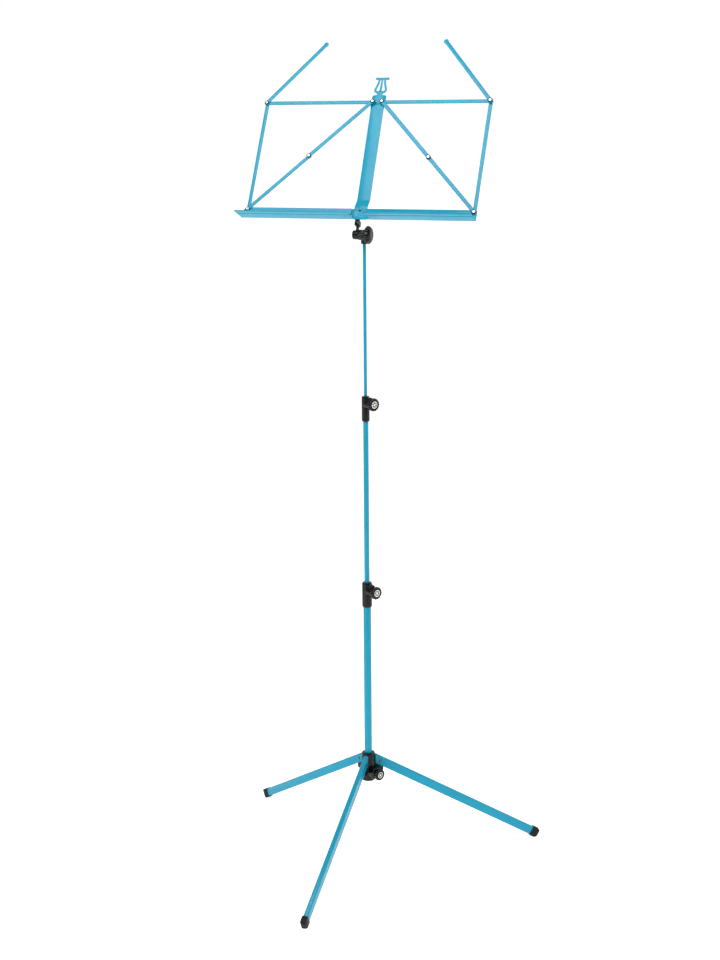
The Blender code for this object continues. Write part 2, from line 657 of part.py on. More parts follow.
def build_spine(desk):
    """The pressed centre strip, joggled forward at its foot, with the lyre at its head."""
    shoulder = LEDGE_PIVOT_HEIGHT + BAR_RISE
    windows = [lyre_window(shoulder)]
    windows.append([(-x, y) for x, y in reversed(windows[0])])
    holes = [circle(side * PIVOT_HALF_SPACING, y, RIVET_SHANK + GAP)
             for side in (-1, 1) for y in (LEDGE_PIVOT_HEIGHT, shoulder)]
    holes.append(circle(-SPINE_OFFSET, 6.0 * MM, 1.5 * MM + GAP))
    holes.append([(-4.8 * MM, 18.6 * MM), (-0.4 * MM, 18.6 * MM), (-2.6 * MM, 14.8 * MM)])
    body = plate(spine_outline(shoulder), windows + holes, 0, SHEET)
    lower_front = layer(-1)[1]
    bends = [(-2 * MM, lower_front), (27 * MM, lower_front),
             (41 * MM, lower_front - 6.3 * MM), (shoulder - 6 * MM, layer(0)[1]),
             (shoulder + 5 * MM, layer(0)[1]), (shoulder + 60 * MM, layer(0)[1] - 3.6 * MM)]
    for height, _ in bends[1:5]:
        bmesh.ops.bisect_plane(body, geom=body.verts[:] + body.edges[:] + body.faces[:],
                               dist=0.001 * MM, plane_co=(0, height, 0), plane_no=(0, 1, 0))
    for vert in body.verts:
        for start, end in zip(bends, bends[1:]):
            if start[0] - 1e-7 <= vert.co.y <= end[0] + 1e-7:
                share = (vert.co.y - start[0]) / (end[0] - start[0])
                front = start[1] + share * (end[1] - start[1])
                break
        vert.co.z += front - SHEET
    place(body, Matrix.Translation((SPINE_OFFSET, DESK_RISE, 0)))
    add_object("desk_spine", body, BLUE, desk)


def build_desk_side(side, desk):
    """Bars, page arm and rivets of one half of the desk."""
    word = "right" if side > 0 else "left"
    inner_x = inner_pivot_x(side)
    outer_x = side * DESK_HALF_SPAN
    span = bar_span(side)
    low_y = DESK_RISE + LEDGE_PIVOT_HEIGHT
    high_y = low_y + BAR_RISE
    outward = 0 if side > 0 else math.pi
    build_ledge(side, desk)
    add_object("top_bar_" + word, make_bar(span, 1), BLUE, desk,
               bar_matrix(inner_x, high_y, outward))
    add_object("side_bar_" + word, make_bar(BAR_RISE, 0), BLUE, desk,
               bar_matrix(outer_x, low_y, math.pi / 2))
    diagonal = math.hypot(span, BAR_RISE)
    upper = (diagonal + BAR_RISE - span) / 2
    lower = diagonal - upper
    down = math.atan2(-BAR_RISE, side * span)
    add_object("diagonal_upper_" + word, make_bar(upper, 3), BLUE, desk,
               bar_matrix(inner_x, high_y, down))
    add_object("diagonal_lower_" + word, make_bar(lower, 2), BLUE, desk,
               bar_matrix(outer_x, low_y, down + math.pi))
    arm_level = 3 if side > 0 else 2
    arm_angle = PAGE_ARM_ANGLE if side < 0 else math.pi - PAGE_ARM_ANGLE
    add_object("page_arm_" + word, make_bar(PAGE_ARM_LENGTH, arm_level, far_hole=False), BLUE,
               desk, bar_matrix(outer_x, high_y, arm_angle))

    spacer = (3.1 * MM, layer(1)[1] + GAP, layer(3)[0] - GAP)
    add_rivet("top_inner_rivet_" + word, inner_x, high_y, layer(0)[0] - 0.5 * MM,
              layer(3)[1] + GAP, desk, spacer)
    add_rivet("top_outer_rivet_" + word, outer_x, high_y, layer(0)[0] - GAP,
              layer(arm_level)[1] + GAP, desk, spacer if side > 0 else None)
    add_rivet("bottom_outer_rivet_" + word, outer_x, low_y, layer(0)[0] - GAP,
              layer(2)[1] + GAP, desk)
    middle_x = inner_x + upper * math.cos(down)
    middle_y = high_y + upper * math.sin(down)
    head = rivet_profile(0, layer(3)[1] + GAP, RIVET_SHANK, RIVET_HEAD, RIVET_HEAD_HEIGHT)
    front = turned([(0, layer(3)[0] + 0.05 * MM), (RIVET_SHANK, layer(3)[0] + 0.05 * MM)]
                   + head[5:], 12)
    add_object("mid_rivet_front_" + word, front, STEEL, desk,
               Matrix.Translation((middle_x, middle_y, 0)))
    back = rod(RIVET_SHANK, layer(2)[0] + 0.05 * MM, layer(2)[1] - 0.05 * MM, 12, 0.2 * MM)
    add_object("mid_rivet_back_" + word, back, STEEL, desk,
               Matrix.Translation((middle_x, middle_y, 0)))


def build_ledge_rivets(desk):
    """The ledge pivots; the left one is flush because the right half passes over it."""
    low_y = DESK_RISE + LEDGE_PIVOT_HEIGHT
    spine_back = layer(-1)[0] - GAP
    ledge_front = layer(1)[0] + LEDGE_SHEET + GAP
    add_rivet("ledge_rivet_right", inner_pivot_x(1), low_y, spine_back, ledge_front, desk)
    flush = turned([(0, spine_back - 1.0 * MM), (RIVET_HEAD * 0.6, spine_back - 1.0 * MM),
                    (RIVET_HEAD, spine_back - 0.3 * MM), (RIVET_HEAD, spine_back),
                    (RIVET_SHANK, spine_back), (RIVET_SHANK, layer(0)[0] + LEDGE_SHEET),
                    (0, layer(0)[0] + LEDGE_SHEET)], 12)
    add_object("ledge_rivet_left", flush, STEEL, desk,
               Matrix.Translation((inner_pivot_x(-1), low_y, 0)))


def build_desk(desk):
    build_spine(desk)
    for side in (-1, 1):
        build_desk_side(side, desk)
    build_ledge_rivets(desk)


# ---------------------------------------------------------------- tilt joint
EYE_LEFT = -2.8 * MM
EYE_RIGHT = 3.4 * MM
BOLT_RADIUS = 3.0 * MM


def along_x(body):
    return place(body, Matrix.Rotation(math.pi / 2, 4, "Y"))


def build_tilt_joint(desk):
    """The head on the rod, the desk's bracket, and the bolt and knob that join them."""
    axis = Matrix.Translation(TILT_AXIS)
    bore = BOLT_RADIUS + GAP
    rod_x = -TILT_AXIS.x
    rod_y = -TILT_AXIS.y
    head_left = EYE_RIGHT + GAP
    head_right = 17.0 * MM
    barrel = rod(9.4 * MM, head_left, head_right, 36)
    for vert in barrel.verts:
        if vert.co.xy.length > 5 * MM:
            angle = math.atan2(vert.co.y, vert.co.x)
            vert.co.xy *= 1 - 0.05 * (0.5 - 0.5 * math.cos(12 * angle))
    barrel = along_x(barrel)
    sleeve = place(rod(6.2 * MM, -17.0 * MM, 8.0 * MM, 28, 1.0 * MM),
                   Matrix.Translation((rod_x, rod_y, 0)))
    trim(sleeve, (head_left + 0.1 * MM, 0, 0), (-1, 0, 0))
    web = box((rod_x - 5.0 * MM, 1.0 * MM, -7.5 * MM), (rod_x + 4.0 * MM, rod_y, 6.0 * MM))
    head = unite(barrel, sleeve, web)
    head = cut(head, along_x(rod(bore, head_left - 5 * MM, head_right + 5 * MM, 20)),
               place(rod(ROD_RADIUS + GAP, -30 * MM, ROD_TOP - TILT_AXIS.z + GAP, 20),
                     Matrix.Translation((rod_x, rod_y, 0))))
    add_object("tilt_head", head, BLACK, matrix=axis)

    bolt = along_x(turned([(0, -5.5 * MM), (4.8 * MM, -5.5 * MM), (4.8 * MM, -3.5 * MM),
                           (BOLT_RADIUS, -3.5 * MM), (BOLT_RADIUS, 26 * MM), (0, 26 * MM)], 20))
    add_object("tilt_bolt", bolt, STEEL, matrix=axis)
    cap = along_x(turned([(0, -7.0 * MM), (6.6 * MM, -7.0 * MM), (8.0 * MM, -6.2 * MM),
                          (8.0 * MM, -3.2 * MM), (5.1 * MM, -3.2 * MM), (5.1 * MM, -5.8 * MM),
                          (0, -5.8 * MM)], 28))
    add_object("tilt_bolt_cap", cap, BLACK, matrix=axis)

    knob_start = head_right + GAP
    knob = turned([(0, 9.4 * MM), (bore, 9.4 * MM), (bore, 0), (9.2 * MM, 0),
                   (15.4 * MM, 1.4 * MM), (16.4 * MM, 2.6 * MM), (16.4 * MM, 5.6 * MM),
                   (15.6 * MM, 8.0 * MM), (13.2 * MM, 10.2 * MM), (9.0 * MM, 11.6 * MM),
                   (0, 12.2 * MM)], 32)
    for vert in knob.verts:
        reach = vert.co.xy.length
        if reach > 12 * MM:
            angle = math.atan2(vert.co.y, vert.co.x)
            vert.co.xy *= 1 - 0.06 * (0.5 - 0.5 * math.cos(8 * angle))
    knob = place(along_x(knob), Matrix.Translation((knob_start, 0, 0)))
    add_object("tilt_knob", knob, BLACK, matrix=axis)

    back = layer(-1)[0] - GAP
    eye = along_x(rod(8.4 * MM, EYE_LEFT, EYE_RIGHT, 28, 0.5 * MM))
    stem = box((-2.4 * MM, 3.0 * MM, -2.6 * MM), (2.0 * MM, 19 * MM, 3.2 * MM))
    lug = box((-5.5 * MM, 14.5 * MM, -4.6 * MM), (EYE_RIGHT, DESK_RISE + 1.0 * MM, back))
    bmesh.ops.bevel(lug, geom=lug.edges[:], offset=1.0 * MM, segments=2, affect="EDGES",
                    profile=0.5)
    tab = box((-5.5 * MM, DESK_RISE - 1.5 * MM, back - 2.4 * MM),
              (EYE_RIGHT, DESK_RISE + 11.0 * MM, back))
    finger = box((-1.9 * MM, DESK_RISE + 9.0 * MM, back - 2.4 * MM),
                 (EYE_RIGHT, DESK_RISE + 20.0 * MM, back))
    bracket = unite(eye, stem, lug, tab, finger)
    bracket = cut(bracket, along_x(rod(bore, -20 * MM, 20 * MM, 20)),
                  place(rod(1.5 * MM + GAP, -20 * MM, 20 * MM, 14),
                        Matrix.Translation((0, DESK_RISE + 6 * MM, 0))))
    add_object("desk_bracket", bracket, BLACK, desk)
    tab_back = back - 2.4 * MM - GAP
    pin = turned([(0, tab_back - 0.9 * MM), (1.9 * MM, tab_back - 0.9 * MM),
                  (2.9 * MM, tab_back - 0.3 * MM), (2.9 * MM, tab_back), (1.5 * MM, tab_back),
                  (1.5 * MM, layer(-1)[1] - 0.1 * MM), (0, layer(-1)[1] - 0.1 * MM)], 12)
    add_object("bracket_rivet", pin, STEEL, desk,
               Matrix.Translation((0, DESK_RISE + 6 * MM, 0)))


# ---------------------------------------------------------------- assembly
def main():
    clear_scene()
    build_pole()
    build_hub()
    for name, azimuth in LEG_AZIMUTHS.items():
        build_leg(name, azimuth)
    desk = add_empty("desk_frame", Matrix.Translation(TILT_AXIS)
                     @ Matrix.Rotation(math.pi / 2 - DESK_LEAN, 4, "X"))
    build_tilt_joint(desk)
    build_desk(desk)
    stand = add_empty("stand_frame", Matrix.Translation((0, POLE_SETBACK, 0)))
    for item in bpy.context.scene.objects:
        if item.parent is None and item is not stand:
            item.parent = stand


main()
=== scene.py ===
"""Looks for a folding sheet-music stand: finer pieces, procedural finishes and a plain studio."""

import json
import math

import bmesh
import bpy
from mathutils import Matrix, Vector

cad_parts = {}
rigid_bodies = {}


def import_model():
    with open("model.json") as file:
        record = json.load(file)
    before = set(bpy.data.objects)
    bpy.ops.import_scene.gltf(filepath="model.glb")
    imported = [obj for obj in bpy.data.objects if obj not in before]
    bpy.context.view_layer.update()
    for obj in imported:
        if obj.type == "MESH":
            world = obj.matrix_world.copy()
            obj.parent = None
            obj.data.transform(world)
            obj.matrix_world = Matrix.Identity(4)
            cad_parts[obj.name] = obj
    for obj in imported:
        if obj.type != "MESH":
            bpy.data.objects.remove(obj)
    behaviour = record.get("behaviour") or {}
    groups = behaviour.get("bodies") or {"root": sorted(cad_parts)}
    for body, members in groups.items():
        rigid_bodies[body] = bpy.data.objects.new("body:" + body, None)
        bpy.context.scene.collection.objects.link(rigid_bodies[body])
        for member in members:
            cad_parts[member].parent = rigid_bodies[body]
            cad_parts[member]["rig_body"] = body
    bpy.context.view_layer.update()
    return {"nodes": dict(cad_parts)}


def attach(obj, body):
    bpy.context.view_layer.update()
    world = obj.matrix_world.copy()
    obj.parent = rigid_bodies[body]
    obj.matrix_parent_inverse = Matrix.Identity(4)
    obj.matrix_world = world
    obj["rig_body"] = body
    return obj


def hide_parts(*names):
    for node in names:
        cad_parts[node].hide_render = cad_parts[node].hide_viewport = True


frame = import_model()

MM = 0.001
GAP = 0.3 * MM
NODES = frame["nodes"]

# Dimensions shared with the CAD part
POLE_SETBACK = 85.13 * MM
# A tube: outer radius, inner radius, bottom, top
LOWER_TUBE = (7.3 * MM, 6.3 * MM, 149.5 * MM, 521.0 * MM)
MID_TUBE = (4.9 * MM, 4.1 * MM, 470.0 * MM, 881.0 * MM)
ROD_RADIUS = 3.0 * MM
ROD_BOTTOM = 836.0 * MM
ROD_TOP = 1209.5 * MM
# A collar: bottom, top, radius, height of its knob
LOWER_COLLAR = (500.5 * MM, 549.0 * MM, 9.6 * MM, 533.0 * MM)
UPPER_COLLAR = (860.0 * MM, 907.5 * MM, 7.4 * MM, 894.0 * MM)
CLAMP_AZIMUTH = math.radians(-30)
LOWER_KNOB_DISTANCE = 20.6 * MM
UPPER_KNOB_DISTANCE = 16.8 * MM
KNOB_FLUTES = 14
KNOB_RADIUS = 11.2 * MM
KNOB_DEPTH = 9.0 * MM
STUD_RADIUS = 2.5 * MM
HUB_BOTTOM = 149.0 * MM
HUB_TOP = 205.5 * MM
HUB_RADIUS = 12.9 * MM
HUB_KNOB_HEIGHT = 168.0 * MM
HUB_KNOB_DISTANCE = 27.2 * MM
LEG_AZIMUTHS = {"front": -90, "right": 30, "left": 150}
LEG_PIVOT_RADIUS = 22.8 * MM
LEG_PIVOT_HEIGHT = 186.0 * MM
LEG_SLOPE = math.radians(29.5)
LEG_LENGTH = 358.0 * MM
LEG_WIDTH = 9.0 * MM
LEG_TOP = 9.0 * MM
LEG_BOTTOM = -7.4 * MM
LEG_WALL = 1.2 * MM
LEG_END_RADIUS = 13.5 * MM
FIN_THICKNESS = 6.0 * MM
TILT_AXIS = Vector((-10.0 * MM, -12.0 * MM, 1204.6 * MM))
DESK_LEAN = math.radians(27.6)
DESK_RISE = 25.2 * MM
DESK_STANDOFF = 10.9 * MM
SHEET = 1.5 * MM
LEDGE_SHEET = 1.2 * MM
LAYER_PITCH = 1.9 * MM
PIVOT_HALF_SPACING = 9.0 * MM
LEDGE_PIVOT_HEIGHT = 16.5 * MM
SPINE_OFFSET = 3.0 * MM
DESK_HALF_SPAN = 218.0 * MM
BAR_RISE = 216.0 * MM
PAGE_ARM_LENGTH = 155.5 * MM
PAGE_ARM_ANGLE = math.radians(50)
BAR_WIDTH = 7.2 * MM
BAR_PAD_RADIUS = 4.6 * MM
RIVET_SHANK = 2.0 * MM
RIVET_HEAD = 3.7 * MM
RIVET_HEAD_HEIGHT = 1.1 * MM
SPINE_WIDTH = 25.0 * MM
LYRE_RISE = 19.5 * MM
LEG_PIN_RADIUS = 2.5 * MM
EYE_LEFT = -2.8 * MM
EYE_RIGHT = 3.4 * MM
BOLT_RADIUS = 3.0 * MM
BRACKET_PIN_RADIUS = 1.5 * MM
BRACKET_PIN_RISE = 6.0 * MM

# Sizes that only the looks have
RIVET_COLLAR = 4.15 * MM
COLLAR_KNOB_SCALE = 1.1
COLLAR_BOSS_RADIUS = 9.4 * MM
INLAY_RELIEF = 0.42 * MM
INLAY_GROUND_TOP = 0.14 * MM
INLAY_SILVER_FOOT = 0.26 * MM
INLAY_SPOKES = 6
INLAY_TURN = math.radians(10)
LEG_PIN_SCALE = 0.72
STRIP_CROWN = 1.15 * MM
STRIP_EASE = 0.25 * MM
SPINE_EASE = 0.3 * MM

# Studio and camera, in metres; the lens is in millimetres
FLOOR_REACH = 40.0
FLOOR_GLOW = 0.66
FLOOR_GLOW_FRONT = 0.22
FLOOR_GLOW_START = -1.6
FLOOR_GLOW_FULL = -0.5
ROOM_FRONT = 0.32
ROOM_BACK = 1.02
ROOM_FADE = (0.20, 0.75)
CAMERA_DISTANCE = 3.0005
CAMERA_HEIGHT = 1.4265
CAMERA_AROUND = math.radians(20.22)
CAMERA_PITCH = math.radians(12.74)
CAMERA_YAW = math.radians(-0.222)
CAMERA_ROLL = math.radians(0.50)
SENSOR_WIDTH = 36.0
LENS = 61.52625

STAND = Matrix.Translation((0, POLE_SETBACK, 0))
DESK = (STAND @ Matrix.Translation(TILT_AXIS)
        @ Matrix.Rotation(math.pi / 2 - DESK_LEAN, 4, "X"))


# ---- finishes
class Graph:
    """A short way to wire a material's nodes."""

    def __init__(self, name):
        self.material = bpy.data.materials.new(name)
        self.material.use_nodes = True
        self.tree = self.material.node_tree
        self.shader = self.tree.nodes["Principled BSDF"]
        self.place = self.node("ShaderNodeTexCoord").outputs["Object"]

    def node(self, kind, **values):
        item = self.tree.nodes.new(kind)
        for key, value in values.items():
            if hasattr(item, key):
                setattr(item, key, value)
            else:
                item.inputs[key.replace("_", " ")].default_value = value
        return item

    def link(self, source, target):
        self.tree.links.new(source, target)

    def coordinate(self, axis):
        item = self.node("ShaderNodeSeparateXYZ")
        self.link(self.place, item.inputs["Vector"])
        return item.outputs[axis]

    def stretched(self, scale):
        item = self.node("ShaderNodeMapping")
        item.inputs["Scale"].default_value = scale
        self.link(self.place, item.inputs["Vector"])
        return item.outputs["Vector"]

    def noise(self, scale, detail=3.0, roughness=0.55, vector=None):
        item = self.node("ShaderNodeTexNoise", Scale=scale, Detail=detail, Roughness=roughness)
        self.link(vector or self.place, item.inputs["Vector"])
        return item.outputs["Fac"]

    def spread(self, value, low, high, start=0.3, end=0.7):
        item = self.node("ShaderNodeMapRange")
        for key, number in (("From Min", start), ("From Max", end), ("To Min", low),
                            ("To Max", high)):
            item.inputs[key].default_value = number
        self.link(value, item.inputs["Value"])
        return item.outputs["Result"]

    def blend(self, factor, first, second):
        item = self.node("ShaderNodeMix", data_type="RGBA")
        for socket, value in zip(("A", "B"), (first, second)):
            target = [s for s in item.inputs if s.name == socket and s.type == "RGBA"][0]
            if isinstance(value, tuple):
                target.default_value = (*value, 1.0)
            else:
                self.link(value, target)
        self.link(factor, item.inputs["Factor"])
        return [s for s in item.outputs if s.type == "RGBA"][0]

    def edges(self, low, high):
        """Bright where the surface turns outwards sharply."""
        geometry = self.node("ShaderNodeNewGeometry")
        return self.spread(geometry.outputs["Pointiness"], 0.0, 1.0, low, high)

    def bump(self, height, strength, distance, base=None):
        item = self.node("ShaderNodeBump", Strength=strength, Distance=distance)
        self.link(height, item.inputs["Height"])
        if base is not None:
            self.link(base, item.inputs["Normal"])
        return item.outputs["Normal"]

    def finish(self, colour=None, roughness=None, normal=None, **values):
        for socket, source in (("Base Color", colour), ("Roughness", roughness),
                               ("Normal", normal)):
            if source is not None:
                self.link(source, self.shader.inputs[socket])
        for key, value in values.items():
            self.shader.inputs[key.replace("_", " ")].default_value = value
        return self.material


def powder_coat(name, colour, deep, pale):
    """Glossy powder coat: orange peel, slight colour drift and thin paint on edges."""
    g = Graph(name)
    drift = g.spread(g.noise(14.0, 4.0), 0.0, 1.0, 0.35, 0.65)
    tint = g.blend(drift, deep, colour)
    fine = g.spread(g.noise(2600.0, 2.0), 0.0, 0.07, 0.45, 0.75)
    tint = g.blend(fine, tint, pale)
    worn = g.edges(0.60, 0.78)
    thin = g.node("ShaderNodeMath", operation="MULTIPLY")
    g.link(worn, thin.inputs[0])
    g.link(g.spread(g.noise(160.0, 5.0), 0.04, 0.16, 0.45, 0.7), thin.inputs[1])
    tint = g.blend(thin.outputs[0], tint, pale)
    rough = g.spread(g.noise(60.0, 5.0), 0.40, 0.52)
    peel = g.bump(g.noise(900.0, 2.0, 0.5), 0.010, 0.0005)
    peel = g.bump(g.noise(3800.0, 1.0, 0.5), 0.008, 0.0003, peel)
    return g.finish(tint, rough, peel, Specular_IOR_Level=0.14, Coat_Weight=0.30,
                    Coat_Roughness=0.17)


def moulded_plastic(name, colour, pale, low, high, grain, scuffs):
    """Injection-moulded plastic: fine grain, flow marks and faint scuffs."""
    g = Graph(name)
    cloud = g.spread(g.noise(35.0, 5.0), 0.0, 1.0)
    tint = g.blend(cloud, colour, pale)
    scratches = g.noise(420.0, 6.0, 0.7, g.stretched((1.0, 1.0, 9.0)))
    marks = g.spread(scratches, 0.0, scuffs, 0.62, 0.78)
    tint = g.blend(marks, tint, tuple(3.0 * c + 0.01 for c in pale))
    rough = g.spread(g.noise(120.0, 5.0), low, high)
    skin = g.bump(g.noise(grain, 3.0, 0.6), 0.048, 0.0004)
    skin = g.bump(scratches, 0.05, 0.0003, skin)
    return g.finish(tint, rough, skin, Specular_IOR_Level=0.22)


def bright_metal(name, colour, dull, low, high, streak, strength):
    """Plated steel: fine turning marks, a little tarnish, painted contact shadow round the rim and
    painted shade in the dimple.
    """
    g = Graph(name)
    tarnish = g.spread(g.noise(240.0, 6.0, 0.65), 0.0, 1.0, 0.42, 0.75)
    tint = g.blend(tarnish, colour, dull)
    flat = g.node("ShaderNodeVectorMath", operation="LENGTH")
    g.link(g.stretched((1.0, 1.0, 0.0)), flat.inputs[0])
    # Painted contact shadow: the head is darkened to near black towards its rim.
    rim = g.spread(flat.outputs["Value"], 0.0, 1.0, RIVET_HEAD * 0.56, RIVET_HEAD * 0.74)
    tint = g.blend(rim, tint, (0.012, 0.012, 0.012))
    # Painted shade: the middle of the head, where the dimple sinks in, is darkened.
    dimple = g.spread(flat.outputs["Value"], 0.7, 0.0, RIVET_HEAD * 0.12, RIVET_HEAD * 0.26)
    tint = g.blend(dimple, tint, (0.02, 0.02, 0.02))
    marks = g.noise(700.0, 4.0, 0.6, g.stretched(streak))
    rough = g.spread(marks, low, high)
    return g.finish(tint, rough, g.bump(marks, strength, 0.0003), Metallic=1.0)


def struck_inlay(name, silver, dull, ground):
    """A silver relief standing out of a dark painted ground."""
    g = Graph(name)
    tarnish = g.spread(g.noise(300.0, 6.0, 0.65), 0.0, 1.0, 0.4, 0.75)
    tint = g.blend(tarnish, silver, dull)
    raised = g.spread(g.coordinate("Z"), 0.0, 1.0, INLAY_GROUND_TOP, INLAY_SILVER_FOOT)
    tint = g.blend(raised, ground, tint)
    marks = g.noise(900.0, 4.0, 0.6, g.stretched((6.0, 0.6, 1.0)))
    return g.finish(tint, g.spread(marks, 0.24, 0.42), g.bump(marks, 0.1, 0.0003), Metallic=0.9)


BLUE = "blue"
BLACK = "black"
STEEL = "steel"
SILVER = "silver"
RUBBER = "rubber"
DARK_STEEL = "dark_steel"
FINISH = {
    BLUE: powder_coat("powder_coat_blue", (0.002, 0.290, 0.436), (0.001, 0.260, 0.400),
                      (0.03, 0.44, 0.60)),
    BLACK: moulded_plastic("plastic_black", (0.002, 0.002, 0.0023), (0.004, 0.004, 0.0043),
                           0.10, 0.18, 1500.0, 0.05),
    STEEL: bright_metal("rivet_steel", (0.46, 0.46, 0.45), (0.28, 0.27, 0.26), 0.20, 0.36,
                        (1.0, 1.0, 0.2), 0.08),
    DARK_STEEL: bright_metal("leg_rivet_steel", (0.16, 0.19, 0.20), (0.06, 0.07, 0.07), 0.28,
                             0.45, (1.0, 1.0, 0.2), 0.08),
    SILVER: struck_inlay("inlay_silver", (0.72, 0.72, 0.67), (0.45, 0.45, 0.42),
                         (0.006, 0.006, 0.006)),
    RUBBER: moulded_plastic("rubber_black", (0.006, 0.006, 0.006), (0.011, 0.011, 0.010),
                            0.50, 0.70, 2600.0, 0.08),
}


# ---- mesh helpers
def new_object(name, data):
    item = bpy.data.objects.new(name, data)
    bpy.context.scene.collection.objects.link(item)
    return item


def body_object(name, body):
    """Turn a bmesh into an object, with its faces outwards."""
    bmesh.ops.recalc_face_normals(body, faces=body.faces)
    mesh = bpy.data.meshes.new(name)
    body.to_mesh(mesh)
    body.free()
    return new_object(name, mesh)


def add_piece(name, body, finish, matrix=STAND, soften=0.0, segments=2, sharp=38):
    """Place a finer piece over its CAD node and let it ride with that node's body."""
    item = body_object("look_" + name, body)
    mesh = item.data
    if soften:
        bevel = item.modifiers.new("soft_edges", "BEVEL")
        bevel.width = soften
        bevel.segments = segments
        bevel.limit_method = "ANGLE"
        bevel.angle_limit = math.radians(sharp)
        bevel.use_clamp_overlap = True
        graph = bpy.context.evaluated_depsgraph_get()
        softened = bpy.data.meshes.new_from_object(item.evaluated_get(graph))
        item.modifiers.clear()
        item.data = softened
        bpy.data.meshes.remove(mesh)
        mesh = softened
        mesh.name = "look_" + name
    mesh.shade_smooth()
    mesh.set_sharp_from_angle(angle=math.radians(sharp))
    mesh.materials.clear()
    mesh.materials.append(FINISH[finish])
    item.matrix_world = matrix
    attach(item, NODES[name]["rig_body"])
    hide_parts(name)
    return item


def combine(first, second, operation):
    items = [body_object("operand", body) for body in (first, second)]
    modifier = items[0].modifiers.new("combine", "BOOLEAN")
    modifier.operation = operation
    modifier.solver = "EXACT"
    modifier.object = items[1]
    graph = bpy.context.evaluated_depsgraph_get()
    result = bmesh.new()
    result.from_mesh(items[0].evaluated_get(graph).to_mesh())
    for item in items:
        bpy.data.objects.remove(item, do_unlink=True)
    bmesh.ops.remove_doubles(result, verts=result.verts, dist=0.002 * MM)
    return result


def cut(body, *cutters):
    for cutter in cutters:
        body = combine(body, cutter, "DIFFERENCE")
    return body


def unite(body, *others):
    for other in others:
        body = combine(body, other, "UNION")
    return body


def arc(centre, radius, start, end, steps):
    points = []
    for index in range(steps + 1):
        angle = math.radians(start + (end - start) * index / steps)
        points.append((centre[0] + radius * math.cos(angle), centre[1] + radius * math.sin(angle)))
    return points


def rounded(points, radius, steps=4):
    """Replace the inner corners of a line by curves tangent to both sides."""
    result = [points[0]]
    for before, corner, after in zip(points, points[1:], points[2:]):
        corner_v = Vector(corner)
        to_before = Vector(before) - corner_v
        to_after = Vector(after) - corner_v
        turn = to_before.angle(to_after)
        reach = min(radius / math.tan(turn / 2), 0.45 * to_before.length, 0.45 * to_after.length)
        start = corner_v + to_before.normalized() * reach
        end = corner_v + to_after.normalized() * reach
        for index in range(steps + 1):
            t = index / steps
            point = start * (1 - t) ** 2 + corner_v * 2 * t * (1 - t) + end * t * t
            result.append(tuple(point))
    result.append(points[-1])
    return result


def in_mm(points, x=0, y=0):
    """Points given in millimetres, moved by x and y."""
    return [(x + across * MM, y + along * MM) for across, along in points]


def smooth_line(points, steps):
    """A smooth curve through every point."""
    result = []
    padded = [points[0]] + list(points) + [points[-1]]
    for before, start, end, after in zip(padded, padded[1:], padded[2:], padded[3:]):
        for index in range(steps):
            t = index / steps
            result.append(tuple(
                0.5 * (2 * b + (c - a) * t + (2 * a - 5 * b + 4 * c - d) * t * t
                       + (3 * b - a - 3 * c + d) * t ** 3)
                for a, b, c, d in zip(before, start, end, after)))
    result.append(tuple(points[-1]))
    return result


def turned(profile, segments, closed=False):
    """Turn (radius, height) points about local Z."""
    body = bmesh.new()
    verts = [body.verts.new((radius, 0, height)) for radius, height in profile]
    edges = [body.edges.new(pair) for pair in zip(verts, verts[1:])]
    if closed:
        edges.append(body.edges.new((verts[-1], verts[0])))
    bmesh.ops.spin(body, geom=verts + edges, cent=(0, 0, 0), axis=(0, 0, 1),
                   dvec=(0, 0, 0), angle=math.tau, steps=segments, use_merge=True)
    bmesh.ops.remove_doubles(body, verts=body.verts, dist=0.001 * MM)
    return body


def rod(radius, bottom, top, segments, chamfer=0.0):
    profile = [(0, top), (radius, top), (radius, bottom), (0, bottom)]
    if chamfer:
        profile = rounded(profile, chamfer, 3)
    return turned(profile, segments)


def ring(inner, outer, bottom, top, segments):
    corners = [(inner, bottom), (outer, bottom), (outer, top), (inner, top)]
    return turned(rounded(corners, 0.3 * MM, 3), segments, closed=True)


def plate(outline, holes, bottom, top):
    """A flat sheet with holes, from one height to another."""
    body = bmesh.new()
    edges = []
    for loop in [outline] + list(holes):
        verts = [body.verts.new((x, y, bottom)) for x, y in loop]
        edges += [body.edges.new((verts[i - 1], verts[i])) for i in range(len(verts))]
    bmesh.ops.triangle_fill(body, edges=edges, use_beauty=True, use_dissolve=False)
    bmesh.ops.dissolve_limit(body, angle_limit=0.01, verts=body.verts, edges=body.edges)
    raised = bmesh.ops.extrude_face_region(body, geom=body.faces[:], use_keep_orig=True)
    moved = [item for item in raised["geom"] if isinstance(item, bmesh.types.BMVert)]
    bmesh.ops.translate(body, verts=moved, vec=(0, 0, top - bottom))
    return body


def circle(x, y, radius, steps=32):
    return arc((x, y), radius, 0, 360 * (steps - 1) / steps, steps - 1)


def place(body, matrix):
    bmesh.ops.transform(body, matrix=matrix, verts=body.verts)
    return body


def mirror_x(body):
    bmesh.ops.transform(body, matrix=Matrix.Scale(-1, 4, (1, 0, 0)), verts=body.verts)
    bmesh.ops.reverse_faces(body, faces=body.faces)
    return body


def box(low, high):
    body = bmesh.new()
    bmesh.ops.create_cube(body, size=1.0)
    size = Vector(high) - Vector(low)
    centre = (Vector(high) + Vector(low)) / 2
    return place(body, Matrix.Translation(centre) @ Matrix.Diagonal((*size, 1.0)))


def eased(body, offset, segments):
    bmesh.ops.bevel(body, geom=body.edges[:], offset=offset, segments=segments, affect="EDGES",
                    profile=0.5)
    return body


